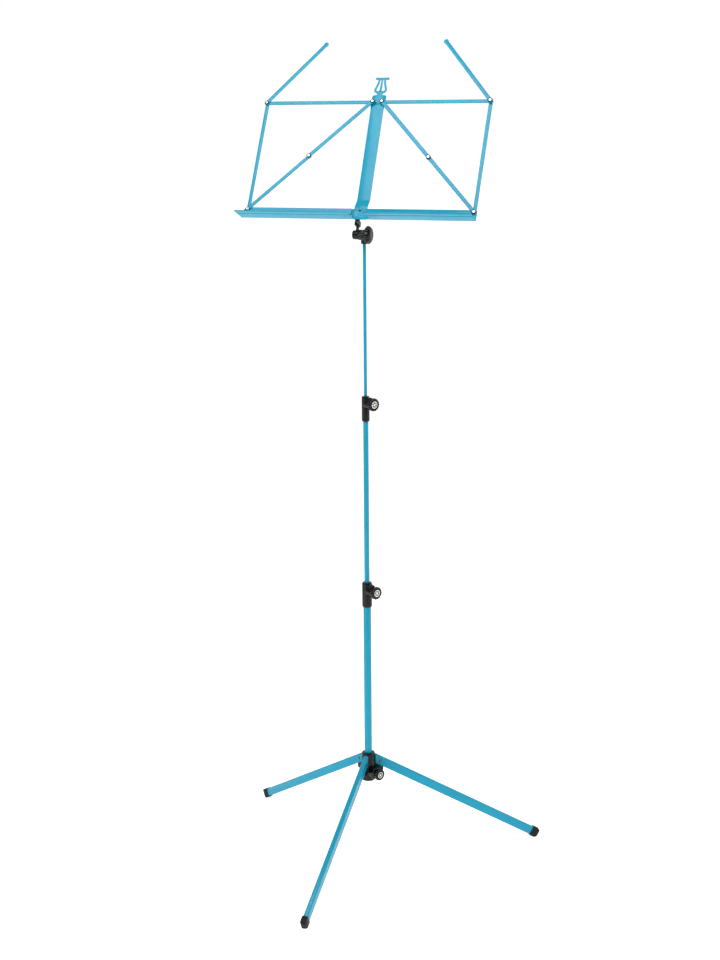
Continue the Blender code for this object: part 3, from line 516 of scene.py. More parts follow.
def ease_rim(body, offset, segments, on_rim):
    """Round the sharp edges that on_rim accepts, where a sheet is cut."""
    body.normal_update()
    rim = [edge for edge in body.edges
           if len(edge.link_faces) == 2 and edge.calc_face_angle(0) > 1.0 and on_rim(edge)]
    bmesh.ops.bevel(body, geom=rim, offset=offset, segments=segments, affect="EDGES",
                    profile=0.5, clamp_overlap=True)


def trim(body, point, normal):
    """Cut away what lies on the normal's side of a plane and close the cut."""
    result = bmesh.ops.bisect_plane(body, geom=body.verts[:] + body.edges[:] + body.faces[:],
                                    dist=0.001 * MM, plane_co=point, plane_no=normal,
                                    clear_outer=True)
    rim = [item for item in result["geom_cut"] if isinstance(item, bmesh.types.BMEdge)]
    bmesh.ops.holes_fill(body, edges=rim, sides=0)


def axis_frame(origin, direction):
    rotation = Vector(direction).to_track_quat("Z", "Y").to_matrix().to_4x4()
    return Matrix.Translation(origin) @ rotation


def flute(body, count, depth, inner, sharpness):
    """Press shallow flutes into everything outside the inner radius."""
    for vert in body.verts:
        distance = math.hypot(vert.co.x, vert.co.y)
        if distance > inner:
            angle = math.atan2(vert.co.y, vert.co.x)
            wave = (0.5 - 0.5 * math.cos(angle * count)) ** sharpness
            shrink = 1 - depth * wave
            vert.co.x *= shrink
            vert.co.y *= shrink
    return body


# ---- clamp knobs
def clamp_frame(height, distance):
    """Local Z points out of the pole along the clamp's direction."""
    direction = Vector((math.cos(CLAMP_AZIMUTH), math.sin(CLAMP_AZIMUTH), 0))
    return axis_frame(direction * distance + Vector((0, 0, height)), direction)


def build_clamp_screw(prefix, height, tube_radius, knob_distance, size=1.0):
    """A fluted knob, its struck face and its stud; size widens the knob but not the stud."""
    wider = Matrix.Diagonal((size, size, 1.0, 1.0))
    recess = 7.6 * MM
    profile = rounded([(0, 6.5 * MM), (STUD_RADIUS + GAP, 6.5 * MM), (STUD_RADIUS + GAP, 0),
                       (8.8 * MM, 0), (9.6 * MM, KNOB_DEPTH * 0.22),
                       (KNOB_RADIUS * 0.93, KNOB_DEPTH * 0.36), (KNOB_RADIUS, KNOB_DEPTH * 0.5),
                       (KNOB_RADIUS, KNOB_DEPTH * 0.88), (KNOB_RADIUS * 0.92, KNOB_DEPTH),
                       (recess + 0.9 * MM, KNOB_DEPTH), (recess, KNOB_DEPTH - 0.5 * MM),
                       (recess, KNOB_DEPTH - 1.0 * MM), (0, KNOB_DEPTH - 1.0 * MM)], 0.7 * MM, 3)
    knob = flute(turned(profile, 12 * KNOB_FLUTES), KNOB_FLUTES, 0.05, 9.0 * MM, 1.6)
    place(knob, wider)
    add_piece(prefix + "_knob", knob, BLACK, STAND @ clamp_frame(height, knob_distance))

    relief = INLAY_RELIEF
    sunk = -0.3 * MM
    disc = in_mm([(0, 0), (7.2, 0), (7.2, -0.6), (0, -0.6)])
    rim = [(4.9 * MM, sunk), (6.0 * MM, sunk), (6.0 * MM, relief - 0.1 * MM),
           (5.8 * MM, relief), (5.1 * MM, relief), (4.9 * MM, relief - 0.1 * MM)]
    dot = [(0, sunk), (1.7 * MM, sunk), (1.7 * MM, relief - 0.15 * MM), (1.3 * MM, relief),
           (0, relief + 0.1 * MM)]
    inlay = unite(turned(disc, 72), turned(rim, 72, closed=True), turned(dot, 40))
    for index in range(INLAY_SPOKES):
        turn = Matrix.Rotation(INLAY_TURN + math.tau * index / INLAY_SPOKES, 4, "Z")
        spoke = box((1.2 * MM, -0.4 * MM, sunk), (5.3 * MM, 0.4 * MM, relief))
        inlay = unite(inlay, place(eased(spoke, 0.12 * MM, 2), turn))
    add_piece(prefix + "_knob_inlay", place(inlay, wider), SILVER,
              STAND @ clamp_frame(height, knob_distance + KNOB_DEPTH - 0.05 * MM))

    start = tube_radius + GAP
    length = knob_distance + 6.0 * MM - start
    profile = [(0, 0), (STUD_RADIUS - 0.5 * MM, 0)]
    thread_pitch = 0.7 * MM
    thread_depth = 0.32 * MM
    valley = 0.4 * MM
    while valley < length - 0.5 * MM:
        profile += [(STUD_RADIUS - thread_depth, valley), (STUD_RADIUS, valley + thread_pitch / 2)]
        valley += thread_pitch
    profile += [(STUD_RADIUS - 0.4 * MM, length), (0, length)]
    add_piece(prefix + "_stud", turned(profile, 32), STEEL, STAND @ clamp_frame(height, start))


def clamp_boss(height, radius, start, end):
    return place(rod(radius, 0, end - start, 56, 1.0 * MM), clamp_frame(height, start))


def clamp_gusset(height, start, end, rise_start, rise_end):
    """The sloping web that joins the clamp boss to the top of its collar."""
    web = plate([(start, 0), (end, 0), (end, rise_end), (start, rise_start)], [],
                -4.2 * MM, 4.2 * MM)
    across = math.cos(CLAMP_AZIMUTH)
    along = math.sin(CLAMP_AZIMUTH)
    stand_up = Matrix(((across, 0, along, 0), (along, 0, -across, 0), (0, 1, 0, height),
                       (0, 0, 0, 1)))
    return place(eased(web, 1.2 * MM, 3), stand_up)


def stud_hole(height, start, end):
    return place(rod(STUD_RADIUS + GAP, 0, end - start, 32), clamp_frame(height, start))


# ---- pole
def build_collar(prefix, collar, held_radius, sliding_radius, step_height, knob_distance):
    """A sleeve that holds one tube, guides the next and carries a clamp boss."""
    bottom, top, radius, knob_height = collar
    wide = held_radius + GAP
    narrow = sliding_radius + GAP
    profile = [(wide, bottom), (radius - 1.3 * MM, bottom), (radius - 0.3 * MM, bottom + 0.9 * MM),
               (radius, bottom + 2.2 * MM), (radius, top - 3.2 * MM),
               (radius - 0.35 * MM, top - 1.0 * MM), (radius - 1.0 * MM, top),
               (narrow + 0.5 * MM, top), (narrow, top - 0.6 * MM), (narrow, step_height),
               (wide, step_height)]
    body = turned(profile, 72, closed=True)
    end = knob_distance - GAP
    body = unite(body, clamp_boss(knob_height, COLLAR_BOSS_RADIUS, radius - 4.0 * MM, end),
                 clamp_gusset(knob_height, radius - 3.0 * MM, end - 1.0 * MM,
                              top - knob_height - 1.2 * MM, 11.6 * MM))
    body = cut(body, stud_hole(knob_height, 0, knob_distance + 5 * MM),
               rod(narrow, step_height - 1 * MM, top + 1 * MM, 72))
    add_piece(prefix + "_collar", body, BLACK, soften=0.35 * MM, segments=3)


def build_pole():
    for name, (outer, inner, bottom, top) in (("lower_tube", LOWER_TUBE), ("mid_tube", MID_TUBE)):
        add_piece(name, ring(inner, outer, bottom, top, 96), BLUE)
    add_piece("top_rod", rod(ROD_RADIUS, ROD_BOTTOM, ROD_TOP, 72, 0.5 * MM), BLUE)
    for name, bottom, bore, tube in (("mid_tube_guide", MID_TUBE[2], MID_TUBE[0], LOWER_TUBE[1]),
                                     ("top_rod_guide", ROD_BOTTOM, ROD_RADIUS, MID_TUBE[1])):
        add_piece(name, ring(bore + GAP, tube - GAP, bottom + 2 * MM, bottom + 14 * MM, 64), BLACK)
    for prefix, collar, held, sliding, tube_top, distance in (
            ("lower", LOWER_COLLAR, LOWER_TUBE[0], MID_TUBE[0], LOWER_TUBE[3],
             LOWER_KNOB_DISTANCE),
            ("upper", UPPER_COLLAR, MID_TUBE[0], ROD_RADIUS, MID_TUBE[3],
             UPPER_KNOB_DISTANCE)):
        build_collar(prefix, collar, held, sliding, tube_top + GAP, distance)
        build_clamp_screw(prefix, collar[3], sliding, distance, COLLAR_KNOB_SCALE)


# ---- tripod
def leg_frame(azimuth):
    turn = Matrix.Rotation(math.radians(azimuth), 4, "Z")
    offset = Matrix.Translation((LEG_PIVOT_RADIUS, 0, LEG_PIVOT_HEIGHT))
    return turn @ offset @ Matrix.Rotation(LEG_SLOPE, 4, "Y")


def channel_section():
    """The leg's section: a thin channel, open below, with rounded shoulders."""
    half = LEG_WIDTH / 2
    bend = 2.4 * MM
    inner = half - LEG_WALL
    inner_bend = bend - LEG_WALL
    top = LEG_TOP
    lip = 0.35 * MM
    points = [(half - lip, LEG_BOTTOM), (half - 0.1 * MM, LEG_BOTTOM + 0.1 * MM),
              (half, LEG_BOTTOM + lip)]
    points += arc((half - bend, top - bend), bend, 0, 90, 10)
    points += arc((bend - half, top - bend), bend, 90, 180, 10)
    points += [(-half, LEG_BOTTOM + lip), (0.1 * MM - half, LEG_BOTTOM + 0.1 * MM),
               (lip - half, LEG_BOTTOM), (-inner, LEG_BOTTOM)]
    points += arc((bend - half, top - bend), inner_bend, 180, 90, 6)
    points += arc((half - bend, top - bend), inner_bend, 90, 0, 6)
    points += [(inner, LEG_BOTTOM)]
    return points


def leg_side_outline():
    """The leg from the side, its inner end slanted so that it is upright when the leg slopes."""
    def inner_end_x(z):
        reach = LEG_END_RADIUS - LEG_PIVOT_RADIUS
        return (reach - z * math.sin(LEG_SLOPE)) / math.cos(LEG_SLOPE)

    top = LEG_TOP + 1 * MM
    low = LEG_BOTTOM
    corner = rounded([(inner_end_x(top), top), (inner_end_x(low), low - 0.5 * MM),
                      (LEG_LENGTH - 18 * MM, low - 0.5 * MM)], 8.0 * MM, 10)
    return corner + [(LEG_LENGTH, low + 1.6 * MM), (LEG_LENGTH, top)]


def build_leg(name, azimuth):
    matrix = STAND @ leg_frame(azimuth)
    turn_to_xz = Matrix.Rotation(math.pi / 2, 4, "X")
    channel = plate(channel_section(), [], -20 * MM, LEG_LENGTH + 2 * MM)
    place(channel, Matrix(((0, 0, 1, 0), (1, 0, 0, 0), (0, 1, 0, 0), (0, 0, 0, 1))))
    side = place(plate(leg_side_outline(), [], -8 * MM, 8 * MM), turn_to_xz)
    leg = combine(channel, side, "INTERSECT")
    leg = cut(leg, place(rod(LEG_PIN_RADIUS + GAP, -8 * MM, 8 * MM, 32), turn_to_xz))
    add_piece("leg_" + name, leg, BLUE, matrix, soften=0.22 * MM)
    build_foot(name, matrix)
    pin_half = LEG_WIDTH / 2 + GAP
    pin = turned(rivet_profile(-pin_half, pin_half, LEG_PIN_RADIUS, 3.6 * MM, 0.9 * MM), 40)
    place(pin, Matrix.Diagonal((LEG_PIN_SCALE, LEG_PIN_SCALE, 1.0, 1.0)))
    add_piece("leg_rivet_" + name, pin, DARK_STEEL, matrix @ turn_to_xz)


def build_foot(name, matrix):
    """A moulded cap with a mouth lip, two grip grooves, a tapered nose and a floor facet."""
    half = LEG_WIDTH / 2 + GAP + 1.1 * MM
    top = LEG_TOP + 1.2 * MM
    low = LEG_BOTTOM - 1.5 * MM
    centre = (top + low) / 2
    tall = (top - low) / 2
    # Each station: millimetres from the leg's end, share of the width, share of the height
    stations = [(-6.0, 0.955, 0.97), (-5.7, 0.99, 0.99), (-5.2, 1.0, 1.0), (-4.0, 1.0, 1.0),
                (-3.7, 0.975, 0.985), (-3.0, 0.975, 0.985), (-2.7, 1.0, 1.0), (3.4, 1.0, 1.0),
                (3.7, 0.965, 0.98), (4.4, 0.965, 0.98), (4.7, 1.0, 1.0), (6.2, 1.0, 1.0),
                (6.9, 0.975, 0.98), (9.7, 0.72, 0.80), (10.3, 0.64, 0.74), (10.5, 0.56, 0.68)]
    cap = bmesh.new()
    loops = []
    radius = 2.0 * MM
    for offset, scale_y, scale_z in stations:
        outline = []
        for y_sign, z_sign, start in ((1, 1, 0), (-1, 1, 90), (-1, -1, 180), (1, -1, 270)):
            corner = (y_sign * (half * scale_y - radius), z_sign * (tall * scale_z - radius))
            outline += arc(corner, radius, start, start + 90, 4)
        loops.append([cap.verts.new((LEG_LENGTH + offset * MM, y, centre + z)) for y, z in outline])
    for start, end in zip(loops, loops[1:]):
        for i in range(len(start)):
            cap.faces.new((start[i - 1], start[i], end[i], end[i - 1]))
    cap.faces.new(loops[0])
    cap.faces.new(loops[-1])
    pocket = box((LEG_LENGTH - 20 * MM, -LEG_WIDTH / 2 - GAP, LEG_BOTTOM - GAP),
                 (LEG_LENGTH + GAP, LEG_WIDTH / 2 + GAP, LEG_TOP + GAP))
    cap = cut(cap, pocket)
    inverse = (STAND.inverted() @ matrix).inverted()
    trim(cap, inverse @ Vector((0, 0, 0)), inverse.to_3x3() @ Vector((0, 0, -1)))
    add_piece("foot_cap_" + name, cap, RUBBER, matrix, sharp=32)


def build_hub():
    bore = LOWER_TUBE[0] + GAP
    profile = [(bore, HUB_BOTTOM), (HUB_RADIUS - 1.5 * MM, HUB_BOTTOM),
               (HUB_RADIUS - 0.4 * MM, HUB_BOTTOM + 0.4 * MM), (HUB_RADIUS, HUB_BOTTOM + 1.5 * MM),
               (HUB_RADIUS, HUB_TOP - 7.5 * MM), (HUB_RADIUS - 0.5 * MM, HUB_TOP - 7.0 * MM),
               (HUB_RADIUS - 0.5 * MM, HUB_TOP - 6.4 * MM), (HUB_RADIUS, HUB_TOP - 5.9 * MM),
               (HUB_RADIUS, HUB_TOP - 1.4 * MM), (HUB_RADIUS - 0.4 * MM, HUB_TOP - 0.4 * MM),
               (HUB_RADIUS - 1.4 * MM, HUB_TOP), (bore + 0.5 * MM, HUB_TOP),
               (bore, HUB_TOP - 0.6 * MM)]
    body = turned(profile, 96, closed=True)
    outline = [(9.5 * MM, HUB_TOP - 8.5 * MM), (9.5 * MM, LEG_PIVOT_HEIGHT - 19.5 * MM)]
    outline += [(22 * MM, LEG_PIVOT_HEIGHT - 20.5 * MM)]
    outline += arc((25.5 * MM, LEG_PIVOT_HEIGHT - 17.0 * MM), 3.5 * MM, -90, 0, 10)
    outline += in_mm([(29.0, -2.0), (26.0, 3.0)], y=LEG_PIVOT_HEIGHT)
    for azimuth in LEG_AZIMUTHS.values():
        fin = plate(outline, [circle(LEG_PIVOT_RADIUS, LEG_PIVOT_HEIGHT, LEG_PIN_RADIUS + GAP)],
                    -FIN_THICKNESS / 2, FIN_THICKNESS / 2)
        place(fin, Matrix.Rotation(math.radians(azimuth), 4, "Z")
              @ Matrix.Rotation(math.pi / 2, 4, "X"))
        body = unite(body, fin)
    block = box((-9 * MM, -9.5 * MM, 0), (9 * MM, 11.5 * MM, HUB_KNOB_DISTANCE - GAP - 9 * MM))
    eased(block, 2.2 * MM, 5)
    upright = clamp_frame(HUB_KNOB_HEIGHT, 9 * MM)
    place(block, Matrix.Translation(upright.translation)
          @ Matrix.Rotation(CLAMP_AZIMUTH, 4, "Z") @ Matrix.Rotation(math.pi / 2, 4, "Z")
          @ Matrix.Rotation(math.pi / 2, 4, "X"))
    body = unite(body, block)
    body = cut(body, rod(bore, HUB_BOTTOM - 5 * MM, HUB_TOP - 2 * MM, 96),
               stud_hole(HUB_KNOB_HEIGHT, 0, HUB_KNOB_DISTANCE + 5 * MM))
    add_piece("tripod_hub", body, BLACK, soften=0.4 * MM, segments=3)
    build_clamp_screw("hub", HUB_KNOB_HEIGHT, LOWER_TUBE[0], HUB_KNOB_DISTANCE)


# ---- desk
def on_desk(x, y, angle=0):
    return DESK @ Matrix.Translation((x, y, 0)) @ Matrix.Rotation(angle, 4, "Z")


def layer(level):
    """Back and front of one layer of strips, counted from the side bars' layer, 0."""
    bottom = DESK_STANDOFF - SHEET + level * LAYER_PITCH
    return bottom, bottom + SHEET


def rivet_head(front, head, height):
    """A domed head with a dimple, from the rim inwards."""
    collar = head * RIVET_COLLAR / RIVET_HEAD
    dome = [(collar, front), (collar, front + height * 0.12),
            (head * 1.02, front + height * 0.16), (head, front + height * 0.25)]
    for index in range(1, 7):
        angle = math.radians(15 * index)
        dome.append((head * (0.42 + 0.58 * math.cos(angle)),
                     front + height * (0.25 + 0.75 * math.sin(angle))))
    dome += [(head * 0.34, front + height * 0.93), (head * 0.28, front + height * 0.55),
             (0, front + height * 0.48)]
    return dome


def rivet_profile(back, front, shank, head, height, shoulder=None):
    """A rivet from its back head to its front head; shoulder is a wider stretch of the shank."""
    points = [(0, back - height), (head * 0.5, back - height), (head * 0.82, back - height * 0.8),
              (head, back - height * 0.3), (head, back), (shank, back)]
    if shoulder:
        radius, low, high = shoulder
        points += [(shank, low), (radius, low), (radius, high), (shank, high)]
    return points + [(shank, front)] + rivet_head(front, head, height)


def add_rivet(name, x, y, back, front, shoulder=None, finish=STEEL):
    profile = rivet_profile(back, front, RIVET_SHANK, RIVET_HEAD, RIVET_HEAD_HEIGHT, shoulder)
    add_piece(name, turned(profile, 40), finish, on_desk(x, y))


def bar_outline(length):
    spread = math.degrees(math.asin(BAR_WIDTH / 2 / BAR_PAD_RADIUS))
    points = arc((0, 0), BAR_PAD_RADIUS, spread, 360 - spread, 30)
    points += arc((length, 0), BAR_PAD_RADIUS, spread - 180, 180 - spread, 30)
    return points


def make_bar(length, level, far_hole):
    """A rolled strip: crowned in front, eased behind, with round ends."""
    hole = RIVET_SHANK + GAP
    holes = [circle(0, 0, hole)]
    if far_hole:
        holes.append(circle(length, 0, hole))
    bottom, top = layer(level)
    bar = plate(bar_outline(length), holes, bottom, top)
    far_end = Vector((length, 0))

    def outer_edge(edge, height):
        return all(abs(vert.co.z - height) < 0.01 * MM
                   and min(vert.co.xy.length, (vert.co.xy - far_end).length) > hole + 0.5 * MM
                   for vert in edge.verts)

    ease_rim(bar, STRIP_CROWN, 5, lambda edge: outer_edge(edge, top))
    ease_rim(bar, STRIP_EASE, 2, lambda edge: outer_edge(edge, bottom))
    return bar


def offset_line(points, half):
    """The closed outline of a strip that follows a line, half to each side."""
    left = []
    right = []
    for i, point in enumerate(points):
        here = Vector(point)
        before = Vector(points[i - 1]) if i else None
        after = Vector(points[i + 1]) if i + 1 < len(points) else None
        incoming = (here - before).normalized() if before else (after - here).normalized()
        outgoing = (after - here).normalized() if after else incoming
        normal_in = Vector((-incoming.y, incoming.x))
        normal_out = Vector((-outgoing.y, outgoing.x))
        mitre = (normal_in + normal_out).normalized()
        reach = half / mitre.dot(normal_in)
        left.append(tuple(here + mitre * reach))
        right.append(tuple(here - mitre * reach))
    return left + right[::-1]


def ledge_section():
    """The ledge from its end: upright back, shelf, a small step and the turned-up lip."""
    half = LEDGE_SHEET / 2
    back = layer(1)[0] + half
    line = in_mm([(0, 20.5), (0, 0), (23, -2.0), (24.2, -1.0), (26.2, -1.2), (27.4, -2.4),
                  (35.6, -3.1), (37.0, -1.9)], back)
    return offset_line(rounded(line, 1.3 * MM, 5), half)


def extrude_along_x(section, start, end):
    body = plate(section, [], start, end)
    return place(body, Matrix(((0, 0, 1, 0), (0, 1, 0, 0), (1, 0, 0, 0), (0, 0, 0, 1))))


def inner_pivot_x(side):
    return SPINE_OFFSET + side * PIVOT_HALF_SPACING


def bar_span(side):
    return DESK_HALF_SPAN - side * inner_pivot_x(side)


def build_ledge(side):
    """One half of the ledge, built to the right and mirrored for the left."""
    span = bar_span(side)
    top = 20.5 * MM
    overlap = 1.4 * MM
    right_back = layer(1)[0]
    if side > 0:
        end = span + 5.5 * MM
        corner = 2.5 * MM
        shelf_start = 14.8 * MM
        body = extrude_along_x(ledge_section(), shelf_start, end)
        outline = [(shelf_start + overlap, 0.2 * MM), (shelf_start + overlap, top)]
        outline += smooth_line(in_mm([(-4.4, 20.5), (-6.6, 15.4), (-11.0, 10.4), (-14.8, 15.4),
                                      (-16.6, 20.5)]), 5)
        outline += in_mm([(-20.5, 20.5), (-24.5, 16.5)])
        outline += arc((-12.5 * MM, 12.2 * MM), 12.0 * MM, 180, 270, 20)
        tongue = plate(outline, [], right_back + 0.01 * MM,
                       right_back + LEDGE_SHEET - 0.01 * MM)
        body = unite(body, tongue)
    else:
        end = span + 9.5 * MM
        corner = 6.0 * MM
        shelf_start = 7.3 * MM
        back = layer(0)[0]
        body = extrude_along_x(ledge_section(), -1.2 * MM, end)
        body = cut(body, box((-3 * MM, -3 * MM, 5 * MM),
                             (shelf_start, 25 * MM, right_back + 2.0 * MM)))
        outline = [(shelf_start + overlap, 8.0 * MM), (shelf_start + overlap, top), (0, top)]
        outline += arc((0, 12.0 * MM), 8.5 * MM, 90, 240, 24)
        tongue = plate(outline, [], back, back + LEDGE_SHEET)
        link = box((shelf_start, 8.1 * MM, back + 0.1 * MM),
                   (shelf_start + overlap - 0.1 * MM, top - 0.1 * MM, right_back + 0.6 * MM))
        body = unite(body, tongue, link)
    trim(body, (end - corner, top, 0), (1, 1, 0))
    place(body, Matrix.Translation((0, -LEDGE_PIVOT_HEIGHT, 0)))
    for x in (0, span):
        hole = place(rod(RIVET_SHANK + GAP, 0, 30 * MM, 32), Matrix.Translation((x, 0, 0)))
        body = cut(body, hole)
    if side < 0:
        mirror_x(body)
    add_piece("ledge_right" if side > 0 else "ledge_left", body, BLUE,
              on_desk(inner_pivot_x(side), DESK_RISE + LEDGE_PIVOT_HEIGHT), soften=0.25 * MM)


def spine_outline(shoulder):
    """The spine and its lyre head from the front; shoulder is the height of the top rivets."""
    half = SPINE_WIDTH / 2
    lyre = shoulder + LYRE_RISE
    right = [(half, 1.2 * MM), (half, shoulder - 16 * MM), (13.6 * MM, shoulder - 5 * MM)]
    right += arc((9.6 * MM, lyre - 8 * MM), 4.0 * MM, 0, 100, 14)
    right += [(5.6 * MM, lyre - 3.8 * MM), (5.0 * MM, lyre - 2 * MM)]
    right += smooth_line(in_mm([(5.4, -0.4), (9.6, 1.6), (12.3, 5.6), (11.6, 10), (9.5, 16.5),
                                (7.6, 23), (7.4, 27.7)], y=lyre), 6)
    right += arc((10.9 * MM, lyre + 30.6 * MM), 2.4 * MM, -120, 130, 20)
    return right + [(-x, y) for x, y in reversed(right)]


def lyre_window(shoulder):
    """The right one of the two openings between the lyre's arms and its bar."""
    lyre = shoulder + LYRE_RISE
    arm = in_mm([(6.4, 4.8), (8.4, 6.8), (7.7, 10), (5.7, 16.5), (4.2, 23), (4.0, 27.9)], y=lyre)
    return in_mm([(1.8, 27.9), (1.8, 6.5), (2.9, 4.6)], y=lyre) + smooth_line(arm, 6)


def build_spine():
    """The spine: forward at the foot, back above the ledge, forward again at the top bars."""
    shoulder = LEDGE_PIVOT_HEIGHT + BAR_RISE
    windows = [lyre_window(shoulder)]
    windows.append([(-x, y) for x, y in reversed(windows[0])])
    holes = [circle(side * PIVOT_HALF_SPACING, y, RIVET_SHANK + GAP)
             for side in (-1, 1) for y in (LEDGE_PIVOT_HEIGHT, shoulder)]
    holes.append(circle(-SPINE_OFFSET, BRACKET_PIN_RISE, BRACKET_PIN_RADIUS + GAP))
    holes.append(in_mm([(-5.0, 19.4), (1.0, 19.4), (-2.0, 14.0)]))
    body = plate(spine_outline(shoulder), windows + holes, 0, SHEET)
    ease_rim(body, SPINE_EASE, 3,
             lambda edge: abs(edge.verts[0].co.z - edge.verts[1].co.z) < 0.01 * MM)
    front = layer(-1)[1]
    line = rounded([(-2 * MM, front), (27 * MM, front), (41 * MM, front - 6.3 * MM),
                    (shoulder - 6 * MM, layer(0)[1]),
                    (shoulder + 60 * MM, layer(0)[1] - 3.6 * MM)], 5.0 * MM, 6)
    for height, _ in line[1:-1]:
        bmesh.ops.bisect_plane(body, geom=body.verts[:] + body.edges[:] + body.faces[:],
                               dist=0.0005 * MM, plane_co=(0, height, 0), plane_no=(0, 1, 0))
    for vert in body.verts:
        for start, end in zip(line, line[1:]):
            if start[0] - 1e-6 <= vert.co.y <= end[0] + 1e-6:
                share = (vert.co.y - start[0]) / (end[0] - start[0])
                vert.co.z += start[1] + share * (end[1] - start[1]) - SHEET
                break
    place(body, Matrix.Translation((SPINE_OFFSET, DESK_RISE, 0)))
    add_piece("desk_spine", body, BLUE, DESK)


def build_desk_side(side):
    """The ledge half, bars, diagonals, page arm and rivets of one side: 1 right, -1 left."""
    word = "right" if side > 0 else "left"
    inner_x = inner_pivot_x(side)
    outer_x = side * DESK_HALF_SPAN
    span = bar_span(side)
    low_y = DESK_RISE + LEDGE_PIVOT_HEIGHT
    high_y = low_y + BAR_RISE
    build_ledge(side)
    diagonal = math.hypot(span, BAR_RISE)
    upper = (diagonal + BAR_RISE - span) / 2
    lower = diagonal - upper
    down = math.atan2(-BAR_RISE, side * span)
    arm_level = 3 if side > 0 else 2
    arm_angle = PAGE_ARM_ANGLE if side < 0 else math.pi - PAGE_ARM_ANGLE
    for name, length, level, x, y, angle, far in (
            ("top_bar_", span, 1, inner_x, high_y, 0 if side > 0 else math.pi, True),
            ("side_bar_", BAR_RISE, 0, outer_x, low_y, math.pi / 2, True),
            ("diagonal_upper_", upper, 3, inner_x, high_y, down, True),
            ("diagonal_lower_", lower, 2, outer_x, low_y, down + math.pi, True),
            ("page_arm_", PAGE_ARM_LENGTH, arm_level, outer_x, high_y, arm_angle, False)):
        add_piece(name + word, make_bar(length, level, far), BLUE, on_desk(x, y, angle))
    spacer = (3.1 * MM, layer(1)[1] + GAP, layer(3)[0] - GAP)
    add_rivet("top_inner_rivet_" + word, inner_x, high_y, layer(0)[0] - 0.5 * MM,
              layer(3)[1] + GAP, spacer)
    add_rivet("top_outer_rivet_" + word, outer_x, high_y, layer(0)[0] - GAP,
              layer(arm_level)[1] + GAP, spacer if side > 0 else None)
    add_rivet("bottom_outer_rivet_" + word, outer_x, low_y, layer(0)[0] - GAP,
              layer(2)[1] + GAP)
    knee = on_desk(inner_x + upper * math.cos(down), high_y + upper * math.sin(down))
    front = layer(3)[1] + GAP
    stub = [(0, layer(3)[0] + 0.05 * MM), (RIVET_SHANK, layer(3)[0] + 0.05 * MM),
            (RIVET_SHANK, front)] + rivet_head(front, RIVET_HEAD, RIVET_HEAD_HEIGHT)
    add_piece("mid_rivet_front_" + word, turned(stub, 40), STEEL, knee)
    plug = rod(RIVET_SHANK, layer(2)[0] + 0.05 * MM, layer(2)[1] - 0.05 * MM, 32, 0.2 * MM)
    add_piece("mid_rivet_back_" + word, plug, STEEL, knee)


def build_ledge_rivets():
    low_y = DESK_RISE + LEDGE_PIVOT_HEIGHT
    spine_back = layer(-1)[0] - GAP
    ledge_front = layer(1)[0] + LEDGE_SHEET + GAP
    add_rivet("ledge_rivet_right", inner_pivot_x(1), low_y, spine_back, ledge_front,
              finish=BLUE)
    flush = [(0, spine_back - 1.0 * MM), (RIVET_HEAD * 0.6, spine_back - 1.0 * MM),
             (RIVET_HEAD, spine_back - 0.3 * MM), (RIVET_HEAD, spine_back),
             (RIVET_SHANK, spine_back), (RIVET_SHANK, layer(0)[0] + LEDGE_SHEET),
             (0, layer(0)[0] + LEDGE_SHEET)]
    add_piece("ledge_rivet_left", turned(flush, 40), BLUE,
              on_desk(inner_pivot_x(-1), low_y))


# ---- tilt joint
def along_x(body):
    return place(body, Matrix.Rotation(math.pi / 2, 4, "Y"))


